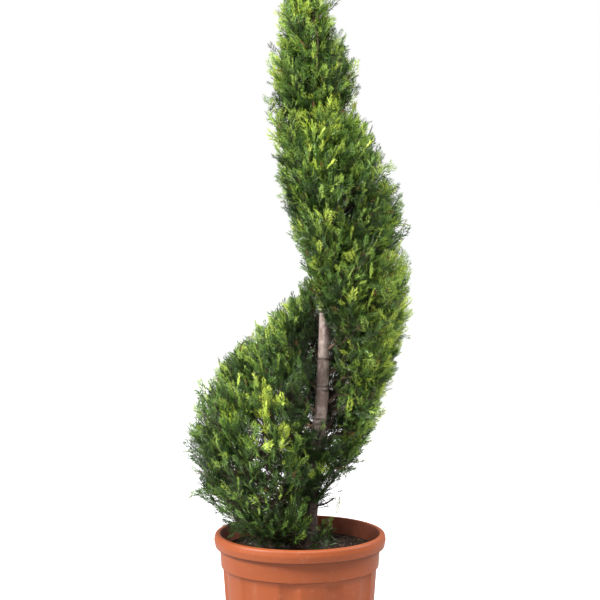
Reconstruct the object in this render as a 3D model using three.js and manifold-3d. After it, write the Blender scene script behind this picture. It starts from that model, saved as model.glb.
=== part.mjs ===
// Potted spiral topiary.
//
// A clipped scale-leaved conifer, trained as a left-handed spiral of foliage
// round one bare trunk, growing in a fluted plastic container.
// Millimetres, +Z up. The origin is the centre of the container's flat underside,
// and the spiral opens on its trunk towards -Y.

import * as THREE from 'three';
import { mergeVertices } from 'three/addons/utils/BufferGeometryUtils.js';
import Module from 'manifold-3d';

const wasm = await Module();
wasm.setup();

// ---------------------------------------------------------------- dimensions

const GAP = 0.4; // clearance left where one piece is cut round another
const SAME_POINT = 1e-3; // vertices closer than this are one vertex

// container
const POT_HEIGHT = 262;
const POT_WALL = 3;
const POT_FLOOR = 4;
const RIM_RADIUS = 150;
const RIM_CREST_RADIUS = 142.5;
const RIM_ROUND_DROP = 12; // crest down to the lip's widest line
const RIM_ROUND_STEPS = 3;
const RIM_LOWER_EDGE_DROP = 22;
const RIM_LOWER_EDGE_RADIUS = 148;
const COLLAR_TOP_DROP = 24;
const COLLAR_TOP_RADIUS = 140;
const COLLAR_FOOT_DROP = 57;
const COLLAR_FOOT_RADIUS = 137.5;
const BODY_TOP_DROP = 58.2;
const BODY_TOP_RADIUS = 136;
const FOOT_RADIUS = 120.5;
const FOOT_ROUNDING = 3;
const FLUTE_COUNT = 11;
const FLUTE_DEPTH = 2;
const FLUTE_FIRST_ANGLE = -7.6; // degrees from the front (-Y) towards +X
const FLUTE_FOOT_HEIGHT = 14;
const FLUTE_RUN_OUT = 4; // height over which a flute fades at its foot
const POT_SEGMENTS = FLUTE_COUNT * 4;
const DRAIN_COUNT = 6;
const DRAIN_RADIUS = 6;
const DRAIN_CIRCLE = 72;

// potting soil
const SOIL_LEVEL = 229;
const SOIL_FLAT_RADIUS = 46; // level ground round the trunk
const SOIL_HOLLOW_RADIUS = 74; // from here the soil banks up to the wall
const SOIL_BANK_RADIUS = 100;
const SOIL_BANK_RISE = 2;
const SOIL_EDGE_RISE = 5;
const SOIL_EDGE_WIDTH = 4;
const SOIL_UNEVENNESS = 2.5;

// trunk: the line of its centre, one row per height
const TRUNK_LINE = [
  // height, x, y
  [SOIL_LEVEL + GAP, 10, 10],
  [292, 15.7, 8],
  [433, 32, 4],
  [490, 38, 2],
  [604, 42, 0],
  [750, 45, 0],
  [900, 38, 0],
  [1000, 27, 0],
  [1150, 12, 0],
  [1206, 9, 0],
];
const TRUNK_RADIUS = 15;
const TRUNK_TIP_RADIUS = 1.6;
const TRUNK_TAPER_POWER = 0.9;
const TRUNK_SIDES = 12;
const TRUNK_STEPS = 28;
const TRUNK_STEP_BIAS = 1.25; // closer rings at the foot
const FLARE_SWELL = 0.75; // share of the radius added at the ground
const FLARE_HEIGHT = 22;
const FLARE_TOES = 4;
const FLARE_TOE_SWELL = 0.35;
const BURLS = [
  // height, half height, angle from +X in degrees, swell in mm
  [440, 16, 200, 3.6],
  [588, 11, -20, 3.2],
];

// boughs: from the trunk's centre at one height to a point in the foliage
const BOUGH_SIDES = 8;
const BOUGH_STEPS = 7;
const BOUGH_COLLAR_SWELL = 0.5; // share of the radius added where it leaves the trunk
const BOUGH_COLLAR_FADE = 6;
const BOUGHS = [
  // name, height on the trunk, angle from +X, reach, rise, sag, radius at the root, radius at the end
  ['bough_right_upper', 588, -14, 62, 40, 5, 6.4, 4.2],
  ['bough_right_middle', 506, 22, 56, 34, 4, 5.4, 3.8],
  ['bough_right_lower', 414, 14, 54, 26, 4, 4.8, 3.2],
  ['bough_right_sprig', 290, -10, 44, 34, -5, 4.0, 2.0],
  ['bough_left_upper', 436, 204, 44, 26, 4, 5.6, 4.0],
  ['bough_left_lower', 268, 190, 46, 22, 4, 7.0, 5.0],
  ['bough_left_front', 312, 238, 44, 24, 4, 6.0, 4.4],
  ['bough_back_upper', 446, 96, 44, 28, 4, 5.6, 4.0],
  ['bough_back_lower', 322, 118, 46, 30, 4, 6.4, 4.6],
];

// foliage: the spiral band, as sections of the crown in planes through the trunk.
// turn 0 faces the front (-Y), and the band climbs clockwise seen from above.
const BAND_FRONT_ANGLE = 270;
const BAND_END_GAP = 0.004; // in turns, between neighbouring masses
const BAND_SIDES = 16;
const BAND_STEPS = 10;
const LUMP = 7; // how far the clipped surface is uneven
const LUMP_UPWARDS = 1.5; // and how far its heights are
const LUMP_FULL_REACH = 40; // beyond this distance from the trunk's line

// heart: inner radius; foot: underside at the trunk and at its outer edge, with that
// edge's reach and the underside's hang below a straight line; belly: greatest reach;
// brow: outer edge of the top, its reach and swell, and the top at the trunk
const LOWER_BAND = [
  // turn, heart, foot in, foot out, reach, sag, belly, brow out, reach, swell, brow in
  [0.015, 27, 252, 258, 92, 2, 118, 338, 88, 14, 414],
  [0.12, 27, 250, 266, 154, 6, 206, 452, 162, 26, 560],
  [0.25, 27, 256, 300, 164, 8, 234, 526, 206, 32, 660],
  [0.37, 26, 280, 344, 160, 12, 218, 594, 170, 0, 704],
  [0.5, 26, 318, 404, 132, 22, 186, 684, 142, 18, 776],
  [0.62, 30, 338, 446, 104, 42, 158, 742, 124, 4, 754],
  [0.75, 38, 352, 540, 128, 62, 150, 752, 138, 0, 756],
  [0.88, 32, 512, 600, 122, 20, 142, 756, 134, 0, 756],
];
const UPPER_BAND = [
  // turn, heart, foot in, foot out, reach, sag, belly, brow out, reach, swell, brow in
  [0.62, 2, 764, 760, 118, 0, 124, 806, 104, 6, 828],
  [0.75, 2, 764, 764, 136, 0, 128, 980, 84, 0, 992],
  [0.88, 2, 764, 764, 134, 0, 126, 996, 80, 0, 998],
];
const TOP_TURN = [
  // turn, heart, foot in, foot out, reach, sag, belly, brow out, reach, swell, brow in
  [0.88, 2, 574, 618, 122, 8, 134, 998, 78, 0, 998],
  [1.0, 2, 626, 700, 116, 12, 122, 998, 78, 0, 998],
  [1.13, 2, 668, 802, 78, 14, 90, 998, 78, 0, 998],
  [1.25, 2, 712, 854, 66, 22, 76, 998, 76, 0, 998],
  [1.38, 2, 752, 876, 76, 18, 84, 998, 76, 0, 998],
  [1.5, 2, 806, 908, 82, 16, 92, 998, 78, 0, 998],
  [1.66, 2, 886, 962, 78, 10, 84, 998, 76, 0, 998],
];
const BAND_SEAM = 760; // where the right side's two masses meet
const TOP_SEAM = 1004; // where the spiral closes into the blunt top
const SEAM_HALF = 1.2;
const BAND_MASSES = [
  // name, band, first turn, last turn, lowest, highest
  ['foliage_front_low', LOWER_BAND, 0.015, 0.12, SOIL_LEVEL, TOP_SEAM],
  ['foliage_left_low', LOWER_BAND, 0.12, 0.37, SOIL_LEVEL, TOP_SEAM],
  ['foliage_back_low', LOWER_BAND, 0.37, 0.62, SOIL_LEVEL, TOP_SEAM],
  ['foliage_right_low', LOWER_BAND, 0.62, 0.88, SOIL_LEVEL, BAND_SEAM],
  ['foliage_right_middle', UPPER_BAND, 0.62, 0.88, BAND_SEAM, TOP_SEAM],
  ['foliage_front_middle', TOP_TURN, 0.88, 1.13, SOIL_LEVEL, TOP_SEAM],
  ['foliage_left_upper', TOP_TURN, 1.13, 1.38, SOIL_LEVEL, TOP_SEAM],
  ['foliage_back_upper', TOP_TURN, 1.38, 1.66, SOIL_LEVEL, TOP_SEAM],
];

// foliage: the blunt top, a body round the trunk
const TOP_PROFILE = [
  // height, reach
  [TOP_SEAM + SEAM_HALF, 72],
  [1012, 78],
  [1050, 76],
  [1084, 71],
  [1116, 58],
  [1150, 50],
  [1182, 43],
  [1204, 28],
  [1216, 13],
  [1221, 3],
];
const TOP_SIDES = 16;
const TOP_STEPS = 13;

// small sprays of their own: on the lowest bough of the open side, and at the trunk's foot
const SPRAYS = [
  // name, centre x, y, z, length, width, height
  ['foliage_right_sprig', 70, -4, 332, 52, 38, 28],
  ['foliage_foot_tuft', 44, -26, 268, 44, 34, 46],
];
const SPRAY_BLUNTNESS = 0.35;
const SPRAY_LIFT = 8;

// ---------------------------------------------------------------- materials

function material(color, roughness) {
  return new THREE.MeshStandardMaterial({ color, roughness, metalness: 0 });
}

const TERRACOTTA = 0xab5d3d;
const SOIL_BROWN = 0x2b211e;
const BARK_GREY = 0x7e736c;
const LEAF_GREEN = 0x4f622e;

// ---------------------------------------------------------------- helpers

// Linear interpolation of a table whose first column is the key.
function lookUp(table, key) {
  const last = table.length - 1;
  if (key <= table[0][0]) return table[0].slice(1);
  if (key >= table[last][0]) return table[last].slice(1);
  const upper = table.findIndex((row) => row[0] >= key);
  const before = table[upper - 1];
  const after = table[upper];
  const share = (key - before[0]) / (after[0] - before[0]);
  return before.slice(1).map((value, i) => THREE.MathUtils.lerp(value, after[i + 1], share));
}

// One closed, outward-facing geometry with shared vertices and no empty triangles.
function closed(geometry) {
  geometry.deleteAttribute('normal');
  geometry.deleteAttribute('uv');
  const merged = mergeVertices(geometry, SAME_POINT);
  const index = merged.getIndex().array;
  const position = merged.getAttribute('position');
  const corner = [new THREE.Vector3(), new THREE.Vector3(), new THREE.Vector3()];
  const kept = [];
  let volume = 0;
  for (let i = 0; i < index.length; i += 3) {
    const [a, b, c] = index.slice(i, i + 3);
    if (a === b || b === c || c === a) continue;
    kept.push(a, b, c);
    [a, b, c].forEach((vertex, k) => corner[k].fromBufferAttribute(position, vertex));
    volume += corner[0].dot(corner[1].cross(corner[2]));
  }
  merged.setIndex(volume < 0 ? kept.reverse() : kept);
  return merged;
}

function toSolid(geometry) {
  const whole = closed(geometry);
  return new wasm.Manifold(new wasm.Mesh({
    numProp: 3,
    vertProperties: new Float32Array(whole.getAttribute('position').array),
    triVerts: new Uint32Array(whole.getIndex().array),
  }));
}

function toGeometry(solid) {
  const { vertProperties, triVerts, numProp } = solid.getMesh();
  const geometry = new THREE.BufferGeometry();
  const positions = new Float32Array((vertProperties.length / numProp) * 3);
  for (let i = 0; i < positions.length / 3; i += 1) {
    positions.set(vertProperties.subarray(i * numProp, i * numProp + 3), i * 3);
  }
  geometry.setAttribute('position', new THREE.BufferAttribute(positions, 3));
  geometry.setIndex(Array.from(triVerts));
  return geometry;
}

// A closed unit cylinder whose vertices are moved by place(along, angle, rim):
// along runs 0 to 1, angle is round the cylinder, and rim is 0 at a cap's centre.
function bentCylinder(sides, steps, place) {
  const geometry = new THREE.CylinderGeometry(1, 1, 1, sides, steps);
  const position = geometry.getAttribute('position');
  for (let i = 0; i < position.count; i += 1) {
    const x = position.getX(i);
    const z = position.getZ(i);
    const rim = Math.round(Math.hypot(x, z));
    const point = place(position.getY(i) + 0.5, Math.atan2(z, x), rim);
    position.setXYZ(i, point.x, point.y, point.z);
  }
  return geometry;
}

// A smooth field between -1 and 1 that gives every clipped surface its own lumps.
function lumps(x, y, z) {
  const broad = Math.sin(x / 21 + z / 37) * Math.cos(y / 24 - z / 29);
  const fine = Math.sin(x / 11 - y / 13 + z / 9);
  return 0.65 * broad + 0.35 * fine;
}

// ---------------------------------------------------------------- container

// Depth of the flutes' cut at one angle (radians from +X) and height.
function fluteDepth(angle, height) {
  if (height < FLUTE_FOOT_HEIGHT) return 0;
  const fromFront = THREE.MathUtils.radToDeg(angle) + 90 - FLUTE_FIRST_ANGLE;
  const wave = Math.cos(THREE.MathUtils.degToRad(fromFront) * FLUTE_COUNT);
  return FLUTE_DEPTH * Math.max(0, wave);
}

function potGeometry() {
  const down = (drop) => POT_HEIGHT - drop;
  const bodyRadius = (height) => THREE.MathUtils.mapLinear(
    height, FOOT_ROUNDING, down(BODY_TOP_DROP), FOOT_RADIUS, BODY_TOP_RADIUS);
  const outline = [[0, 0], [FOOT_RADIUS - FOOT_ROUNDING, 0], [FOOT_RADIUS, FOOT_ROUNDING]];
  for (const height of [FLUTE_FOOT_HEIGHT - FLUTE_RUN_OUT, FLUTE_FOOT_HEIGHT]) {
    outline.push([bodyRadius(height), height]);
  }
  outline.push([BODY_TOP_RADIUS, down(BODY_TOP_DROP)]);
  const flutedRows = outline.length;
  outline.push([COLLAR_FOOT_RADIUS, down(COLLAR_FOOT_DROP)]);
  outline.push([COLLAR_TOP_RADIUS, down(COLLAR_TOP_DROP)]);
  outline.push([RIM_LOWER_EDGE_RADIUS, down(RIM_LOWER_EDGE_DROP)]);
  const roundWidth = RIM_RADIUS - RIM_CREST_RADIUS;
  for (let step = 0; step <= RIM_ROUND_STEPS; step += 1) {
    const angle = (step / RIM_ROUND_STEPS) * (Math.PI / 2);
    outline.push([
      RIM_CREST_RADIUS + roundWidth * Math.cos(angle),
      down(RIM_ROUND_DROP) + RIM_ROUND_DROP * Math.sin(angle),
    ]);
  }
  outline.push([RIM_CREST_RADIUS - POT_WALL, down(POT_WALL / 2)]);
  outline.push([COLLAR_TOP_RADIUS - 2 * POT_WALL, down(COLLAR_TOP_DROP)]);
  outline.push([BODY_TOP_RADIUS - FLUTE_DEPTH - POT_WALL, down(BODY_TOP_DROP)]);
  const floorRadius = FOOT_RADIUS - FLUTE_DEPTH - POT_WALL;
  outline.push([floorRadius, POT_FLOOR + FOOT_ROUNDING]);
  outline.push([floorRadius - FOOT_ROUNDING, POT_FLOOR]);
  outline.push([0, POT_FLOOR]);

  const start = THREE.MathUtils.degToRad(FLUTE_FIRST_ANGLE);
  const points = outline.map(([radius, height]) => new THREE.Vector2(radius, height));
  const lathe = new THREE.LatheGeometry(points, POT_SEGMENTS, start, 2 * Math.PI);
  lathe.rotateX(Math.PI / 2);
  const position = lathe.getAttribute('position');
  for (let i = 0; i < position.count; i += 1) {
    if (i % points.length >= flutedRows) continue;
    const angle = Math.atan2(position.getY(i), position.getX(i));
    const radius = Math.hypot(position.getX(i), position.getY(i));
    const cut = radius > 0 ? fluteDepth(angle, position.getZ(i)) / radius : 0;
    position.setXY(i, position.getX(i) * (1 - cut), position.getY(i) * (1 - cut));
  }
  return lathe;
}

function drainHole(index) {
  const angle = (index / DRAIN_COUNT) * 2 * Math.PI;
  const hole = new THREE.CylinderGeometry(DRAIN_RADIUS, DRAIN_RADIUS, POT_FLOOR * 4, 10);
  hole.rotateX(Math.PI / 2);
  hole.translate(DRAIN_CIRCLE * Math.cos(angle), DRAIN_CIRCLE * Math.sin(angle), 0);
  return toSolid(hole);
}

function pot() {
  let solid = toSolid(potGeometry());
  for (let i = 0; i < DRAIN_COUNT; i += 1) solid = solid.subtract(drainHole(i));
  return solid;
}

// ---------------------------------------------------------------- soil

function soil() {
  const wall = FLUTE_DEPTH + POT_WALL + GAP;
  const soilRim = THREE.MathUtils.mapLinear(
    SOIL_LEVEL, POT_FLOOR, POT_HEIGHT - COLLAR_TOP_DROP,
    FOOT_RADIUS - wall, COLLAR_TOP_RADIUS - 2 * POT_WALL - GAP);
  const floor = POT_FLOOR + GAP;
  const floorRadius = FOOT_RADIUS - wall;
  const outline = [
    [0, floor],
    [floorRadius - FOOT_ROUNDING, floor],
    [floorRadius, floor + FOOT_ROUNDING],
    [BODY_TOP_RADIUS - wall, POT_HEIGHT - BODY_TOP_DROP],
    [soilRim - 1, SOIL_LEVEL],
    [soilRim - SOIL_EDGE_WIDTH, SOIL_LEVEL + SOIL_EDGE_RISE],
    [SOIL_BANK_RADIUS, SOIL_LEVEL + SOIL_BANK_RISE],
    [SOIL_HOLLOW_RADIUS, SOIL_LEVEL],
    [SOIL_FLAT_RADIUS, SOIL_LEVEL],
    [0, SOIL_LEVEL],
  ];
  const points = outline.map(([radius, height]) => new THREE.Vector2(radius, height));
  const start = THREE.MathUtils.degToRad(FLUTE_FIRST_ANGLE);
  const lathe = new THREE.LatheGeometry(points, POT_SEGMENTS, start, 2 * Math.PI);
  lathe.rotateX(Math.PI / 2);
  const position = lathe.getAttribute('position');
  for (let i = 0; i < position.count; i += 1) {
    const [x, y, z] = [position.getX(i), position.getY(i), position.getZ(i)];
    const radius = Math.hypot(x, y);
    if (z < SOIL_LEVEL || radius <= SOIL_FLAT_RADIUS + 1 || radius >= soilRim - 2) continue;
    position.setZ(i, z + SOIL_UNEVENNESS * lumps(x, y, z));
  }
  return toSolid(lathe);
}

// ---------------------------------------------------------------- trunk and boughs

function trunkCentre(height) {
  const [x, y] = lookUp(TRUNK_LINE, height);
  return new THREE.Vector3(x, y, height);
}

function trunkRadius(height) {
  const foot = TRUNK_LINE[0][0];
  const top = TRUNK_LINE[TRUNK_LINE.length - 1][0];
  const left = Math.max(0, 1 - (height - foot) / (top - foot));
  return Math.max(TRUNK_TIP_RADIUS, TRUNK_RADIUS * left ** TRUNK_TAPER_POWER);
}

function trunkSurfaceRadius(height, angle) {
  const above = height - TRUNK_LINE[0][0];
  const toes = 1 + FLARE_TOE_SWELL * Math.cos(FLARE_TOES * angle);
  let radius = trunkRadius(height) * (1 + FLARE_SWELL * toes * Math.exp(-above / FLARE_HEIGHT));
  for (const [centre, half, degrees, swell] of BURLS) {
    const turned = Math.max(0, Math.cos(angle - THREE.MathUtils.degToRad(degrees)));
    radius += swell * turned * Math.exp(-(((height - centre) / half) ** 2));
  }
  return radius;
}

// The trunk, level at the ground; clearance makes the wider body that cuts its neighbours.
function trunk(clearance = 0) {
  const foot = TRUNK_LINE[0][0];
  const top = TRUNK_LINE[TRUNK_LINE.length - 1][0] + clearance;
  return toSolid(bentCylinder(TRUNK_SIDES, TRUNK_STEPS, (along, angle, rim) => {
    const height = THREE.MathUtils.lerp(foot, top, along ** TRUNK_STEP_BIAS);
    const radius = rim * (trunkSurfaceRadius(height, angle) + clearance);
    const centre = trunkCentre(height);
    return new THREE.Vector3(
      centre.x + radius * Math.cos(angle), centre.y + radius * Math.sin(angle), height);
  }));
}

function boughCurve(height, degrees, reach, rise, sag) {
  const angle = THREE.MathUtils.degToRad(degrees);
  const out = new THREE.Vector3(Math.cos(angle), Math.sin(angle), 0);
  const root = trunkCentre(height);
  const end = root.clone().addScaledVector(out, reach);
  end.z += rise;
  const middle = root.clone().lerp(end, 0.5);
  middle.z -= sag;
  return new THREE.QuadraticBezierCurve3(root, middle, end);
}

function bough([, height, degrees, reach, rise, sag, rootRadius, endRadius], clearance = 0) {
  const curve = boughCurve(height, degrees, reach, rise, sag);
  return toSolid(bentCylinder(BOUGH_SIDES, BOUGH_STEPS, (along, angle, rim) => {
    const ahead = curve.getTangent(along);
    const side = new THREE.Vector3(-ahead.y, ahead.x, 0).normalize();
    const above = new THREE.Vector3().crossVectors(ahead, side);
    const collar = 1 + BOUGH_COLLAR_SWELL * Math.exp(-along * BOUGH_COLLAR_FADE);
    const radius = rim * (THREE.MathUtils.lerp(rootRadius, endRadius, along) * collar + clearance);
    const point = curve.getPoint(along);
    point.addScaledVector(ahead, along > 0.5 ? clearance : 0);
    point.addScaledVector(side, radius * Math.cos(angle));
    return point.addScaledVector(above, radius * Math.sin(angle));
  }));
}

// ---------------------------------------------------------------- foliage

function bandDirection(turn) {
  const angle = THREE.MathUtils.degToRad(BAND_FRONT_ANGLE - 360 * turn);
  return new THREE.Vector3(Math.cos(angle), Math.sin(angle), 0);
}

// The crown's section at one turn, as a closed curve with reach as x and height as y.
function bandSection(band, turn) {
  const values = lookUp(band, turn);
  const [heart, footIn, footOut, footReach, sag, belly, browOut, browReach, swell, browIn] = values;
  const corners = [
    [heart, footIn],
    [(heart + footReach) / 2, (footIn + footOut) / 2 - sag],
    [footReach, footOut],
    [belly, (footOut + browOut) / 2],
    [browReach, browOut],
    [(heart + browReach) / 2, (browOut + browIn) / 2 + swell],
    [heart, browIn],
    [heart, (footIn + browIn) / 2],
  ];
  const points = corners.map(([reach, height]) => new THREE.Vector3(reach, height, 0));
  return new THREE.CatmullRomCurve3(points, true, 'catmullrom', 0.35);
}

// A vertex stands on the trunk's line at its own height, and reaches out from it.
function reachOut(turn, reach, height) {
  return trunkCentre(height).addScaledVector(bandDirection(turn), reach);
}

function bandMass([, band, firstTurn, lastTurn, lowest, highest]) {
  const first = firstTurn + BAND_END_GAP;
  const last = lastTurn - BAND_END_GAP;
  return toSolid(bentCylinder(BAND_SIDES, BAND_STEPS, (along, angle, rim) => {
    const turn = THREE.MathUtils.lerp(first, last, along);
    const section = bandSection(band, turn);
    const round = (angle / (2 * Math.PI) + 1) % 1;
    const edge = section.getPoint(round);
    if (rim === 0) {
      const opposite = section.getPoint(0.5);
      edge.copy(section.getPoint(0)).lerp(opposite, 0.5);
    }
    const rough = reachOut(turn, edge.x, edge.y);
    const outward = Math.min(1, edge.x / LUMP_FULL_REACH);
    const push = rim * lumps(rough.x, rough.y, rough.z);
    const height = edge.y + push * LUMP_UPWARDS * outward;
    const level = THREE.MathUtils.clamp(height, lowest + SEAM_HALF, highest - SEAM_HALF);
    return reachOut(turn, edge.x + push * LUMP * outward, level);
  }));
}

function topMass() {
  const foot = TOP_PROFILE[0][0];
  const top = TOP_PROFILE[TOP_PROFILE.length - 1][0];
  return toSolid(bentCylinder(TOP_SIDES, TOP_STEPS, (along, angle, rim) => {
    const height = THREE.MathUtils.lerp(foot, top, along);
    const centre = trunkCentre(height);
    const [reach] = lookUp(TOP_PROFILE, height);
    const out = new THREE.Vector3(Math.cos(angle), Math.sin(angle), 0);
    const rough = centre.clone().addScaledVector(out, reach);
    const push = Math.min(LUMP, reach / 4) * lumps(rough.x, rough.y, rough.z);
    return centre.addScaledVector(out, rim * (reach + push));
  }));
}

// An uneven egg, blunt towards the trunk and lifted at its tip.
function sprayMass([, x, y, z, length, width, height]) {
  const ball = new THREE.SphereGeometry(1, 12, 8);
  const position = ball.getAttribute('position');
  for (let i = 0; i < position.count; i += 1) {
    const along = position.getX(i);
    const across = position.getY(i) * (1 - SPRAY_BLUNTNESS * along);
    const up = position.getZ(i) * (1 - SPRAY_BLUNTNESS * along);
    const swell = 1 + 0.12 * lumps(x + 30 * along, y + 30 * across, z + 30 * up);
    position.setXYZ(
      i,
      x + (length / 2) * along,
      y + (width / 2) * across * swell,
      z + (height / 2) * up * swell + SPRAY_LIFT * along,
    );
  }
  return toSolid(ball);
}

// ---------------------------------------------------------------- assembly

function mesh(name, solid, color, roughness) {
  const part = new THREE.Mesh(toGeometry(solid), material(color, roughness));
  part.name = name;
  return part;
}

const plant = new THREE.Group();
plant.add(mesh('pot', pot(), TERRACOTTA, 0.55));
plant.add(mesh('soil', soil(), SOIL_BROWN, 0.95));
plant.add(mesh('trunk', trunk(), BARK_GREY, 0.9));

const trunkRoom = trunk(GAP);
for (const limb of BOUGHS) {
  plant.add(mesh(limb[0], bough(limb).subtract(trunkRoom), BARK_GREY, 0.9));
}

const limbRoom = BOUGHS.reduce((room, limb) => room.add(bough(limb, GAP)), trunkRoom);
const masses = [
  ...BAND_MASSES.map((mass) => [mass[0], bandMass(mass)]),
  ['foliage_top', topMass()],
  ...SPRAYS.map((spray) => [spray[0], sprayMass(spray)]),
];
for (const [name, solid] of masses) {
  plant.add(mesh(name, solid.subtract(limbRoom), LEAF_GREEN, 0.8));
}

export default plant;
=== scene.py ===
"""Potted spiral topiary: bark, boughs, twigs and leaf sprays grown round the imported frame,
with its fluted container and potting soil. Metres, +Z up, in the frame of the CAD model."""

import math

import bmesh
import bpy
import numpy as np
from mathutils import Matrix, Vector, noise
from mathutils.bvhtree import BVHTree


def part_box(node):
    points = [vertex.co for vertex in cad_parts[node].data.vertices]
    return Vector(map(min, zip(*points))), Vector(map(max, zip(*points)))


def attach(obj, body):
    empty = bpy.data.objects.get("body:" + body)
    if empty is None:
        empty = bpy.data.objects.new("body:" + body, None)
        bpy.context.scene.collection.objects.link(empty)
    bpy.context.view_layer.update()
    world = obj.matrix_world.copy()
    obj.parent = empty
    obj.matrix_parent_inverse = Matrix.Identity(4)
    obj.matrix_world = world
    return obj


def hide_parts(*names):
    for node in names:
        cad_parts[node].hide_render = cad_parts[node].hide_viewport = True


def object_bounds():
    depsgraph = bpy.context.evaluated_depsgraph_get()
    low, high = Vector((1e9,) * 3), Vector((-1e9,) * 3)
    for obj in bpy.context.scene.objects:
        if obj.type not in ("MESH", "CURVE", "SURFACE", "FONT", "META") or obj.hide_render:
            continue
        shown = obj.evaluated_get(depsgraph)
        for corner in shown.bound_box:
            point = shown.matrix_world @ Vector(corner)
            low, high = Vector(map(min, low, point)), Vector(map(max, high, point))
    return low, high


bl_info = {
    "name": "Spiral Topiary",
    "version": (1, 0, 0),
    "blender": (4, 5, 0),
    "location": "View3D > Sidebar > Topiary",
    "description": "Grows a clipped spiral conifer and its container round a CAD frame",
    "category": "Add Mesh",
}

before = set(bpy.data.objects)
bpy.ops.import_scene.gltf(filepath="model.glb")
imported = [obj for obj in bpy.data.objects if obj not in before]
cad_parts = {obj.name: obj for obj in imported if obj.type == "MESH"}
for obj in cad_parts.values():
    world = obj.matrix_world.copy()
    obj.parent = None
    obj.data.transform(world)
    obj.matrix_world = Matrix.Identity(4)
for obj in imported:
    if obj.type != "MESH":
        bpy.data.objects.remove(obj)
CAD_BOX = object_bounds()

BODY = "root"
MM = 0.001
UP = np.array([0.0, 0.0, 1.0])
FOLIAGE_NODES = sorted(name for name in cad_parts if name.startswith("foliage_"))
BOUGH_NODES = sorted(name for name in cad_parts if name.startswith("bough_"))
POT_LOW, POT_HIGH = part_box("pot")
POT_RADIUS = POT_HIGH.x
POT_HEIGHT = POT_HIGH.z
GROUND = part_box("trunk")[0].z


def display_colour(red, green, blue):
    """A colour given as it looks on a screen, 0 to 255, as the linear values that Blender keeps."""
    values = []
    for part in (red, green, blue):
        share = part / 255.0
        values.append(share / 12.92 if share <= 0.04045 else ((share + 0.055) / 1.055) ** 2.4)
    return tuple(values)


# ------------------------------------------------------------------ settings


def colour_property(name, description, default):
    return bpy.props.FloatVectorProperty(
        name=name, description=description, subtype="COLOR", size=3, min=0.0, max=1.0, default=default
    )


def length_property(name, description, default):
    return bpy.props.FloatProperty(
        name=name, description=description, default=default, min=0.0, unit="LENGTH", subtype="DISTANCE"
    )


def share_property(name, description, default):
    return bpy.props.FloatProperty(name=name, description=description, default=default, subtype="FACTOR")


class TopiaryContainerSettings(bpy.types.PropertyGroup):
    """Sizes and colours of the container and its soil."""

    flutes: bpy.props.IntProperty(name="Flutes", description="Hollow flutes round the body", default=11)
    first_flute: bpy.props.FloatProperty(
        name="First flute",
        description="Angle of one flute from the front towards the right",
        default=math.radians(-7.6),
        subtype="ANGLE",
    )
    flute_depth: length_property("Flute depth", "Depth of each flute at its middle", 4.0 * MM)
    drain_holes: bpy.props.IntProperty(name="Drain holes", description="Holes in the floor", default=6)
    plastic: colour_property("Plastic", "Colour of the container", display_colour(146, 72, 35))
    plastic_inside: colour_property("Inner wall", "Colour of the inner wall", display_colour(150, 82, 58))
    soil: colour_property("Soil", "Colour of the moist potting soil", display_colour(42, 32, 27))


class TopiaryLimbSettings(bpy.types.PropertyGroup):
    """Bark of the trunk, boughs and twigs."""

    relief: length_property("Bark relief", "Depth of the ridges and furrows in the bark", 0.9 * MM)
    bark: colour_property("Bark", "Main colour of the bark", display_colour(132, 114, 106))
    bark_pale: colour_property("Pale patches", "Colour of the pale patches", display_colour(170, 152, 143))
    bark_dark: colour_property("Furrows", "Colour of furrows and old scars", display_colour(84, 68, 60))
    twig: colour_property("Twigs", "Colour of the woody twigs", display_colour(96, 78, 64))


class TopiaryFoliageSettings(bpy.types.PropertyGroup):
    """Size, number and colours of the leaf sprays."""

    seed: bpy.props.IntProperty(name="Seed", description="Seed of the branching rule", default=7)
    shoots: bpy.props.IntProperty(name="Shoots", description="Shoots that reach the outside", default=1340)
    inner_share: share_property("Inner shoots", "Shoots inside the crown for each outer one", 0.15)
    sprays_per_shoot: bpy.props.IntProperty(name="Sprays per shoot", description="Leaf sprays", default=10)
    shoot_length: length_property("Shoot length", "Length of a middling shoot", 78.0 * MM)
    spray_length: length_property("Spray length", "Length of a middling spray", 44.0 * MM)
    blade_width: length_property("Branchlet width", "Width of one scaly branchlet", 1.35 * MM)
    deep: colour_property("Deep green", "Shaded and older sprays", display_colour(64, 92, 40))
    leaf: colour_property("Leaf green", "Most of the sprays", display_colour(106, 140, 62))
    fresh: colour_property("Fresh green", "Young growth", display_colour(152, 180, 76))
    lime: colour_property("Yellow green", "Newest upright shoots", display_colour(198, 216, 88))
    dull: colour_property("Dull green", "Cooler sprays", display_colour(90, 118, 68))
    rust: colour_property("Rust brown", "Dried sprays", display_colour(124, 84, 50))


class TopiaryStageSettings(bpy.types.PropertyGroup):
    """Floor, light and camera."""

    floor: colour_property("Floor", "Colour of the floor", display_colour(185, 185, 185))
    sky_light: bpy.props.FloatProperty(name="Surrounding light", description="Its strength", default=0.42)
    key_power: bpy.props.FloatProperty(name="Key light", description="Power in watts", default=245.0)
    front_power: bpy.props.FloatProperty(name="Front light", description="Power in watts", default=140.0)
    edge_power: bpy.props.FloatProperty(name="Edge light", description="Power in watts", default=80.0)
    camera_distance: length_property("Camera distance", "From the container's axis to the camera", 2.93)
    camera_height: length_property("Camera height", "Height of the camera above the floor", 0.906)
    camera_tilt: bpy.props.FloatProperty(
        name="Camera tilt",
        description="How far the camera looks down",
        default=math.radians(4.63),
        subtype="ANGLE",
    )
    camera_lens: bpy.props.FloatProperty(
        name="Lens", description="Focal length in millimetres", default=102.0
    )


# ------------------------------------------------------------------ meshes


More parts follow.
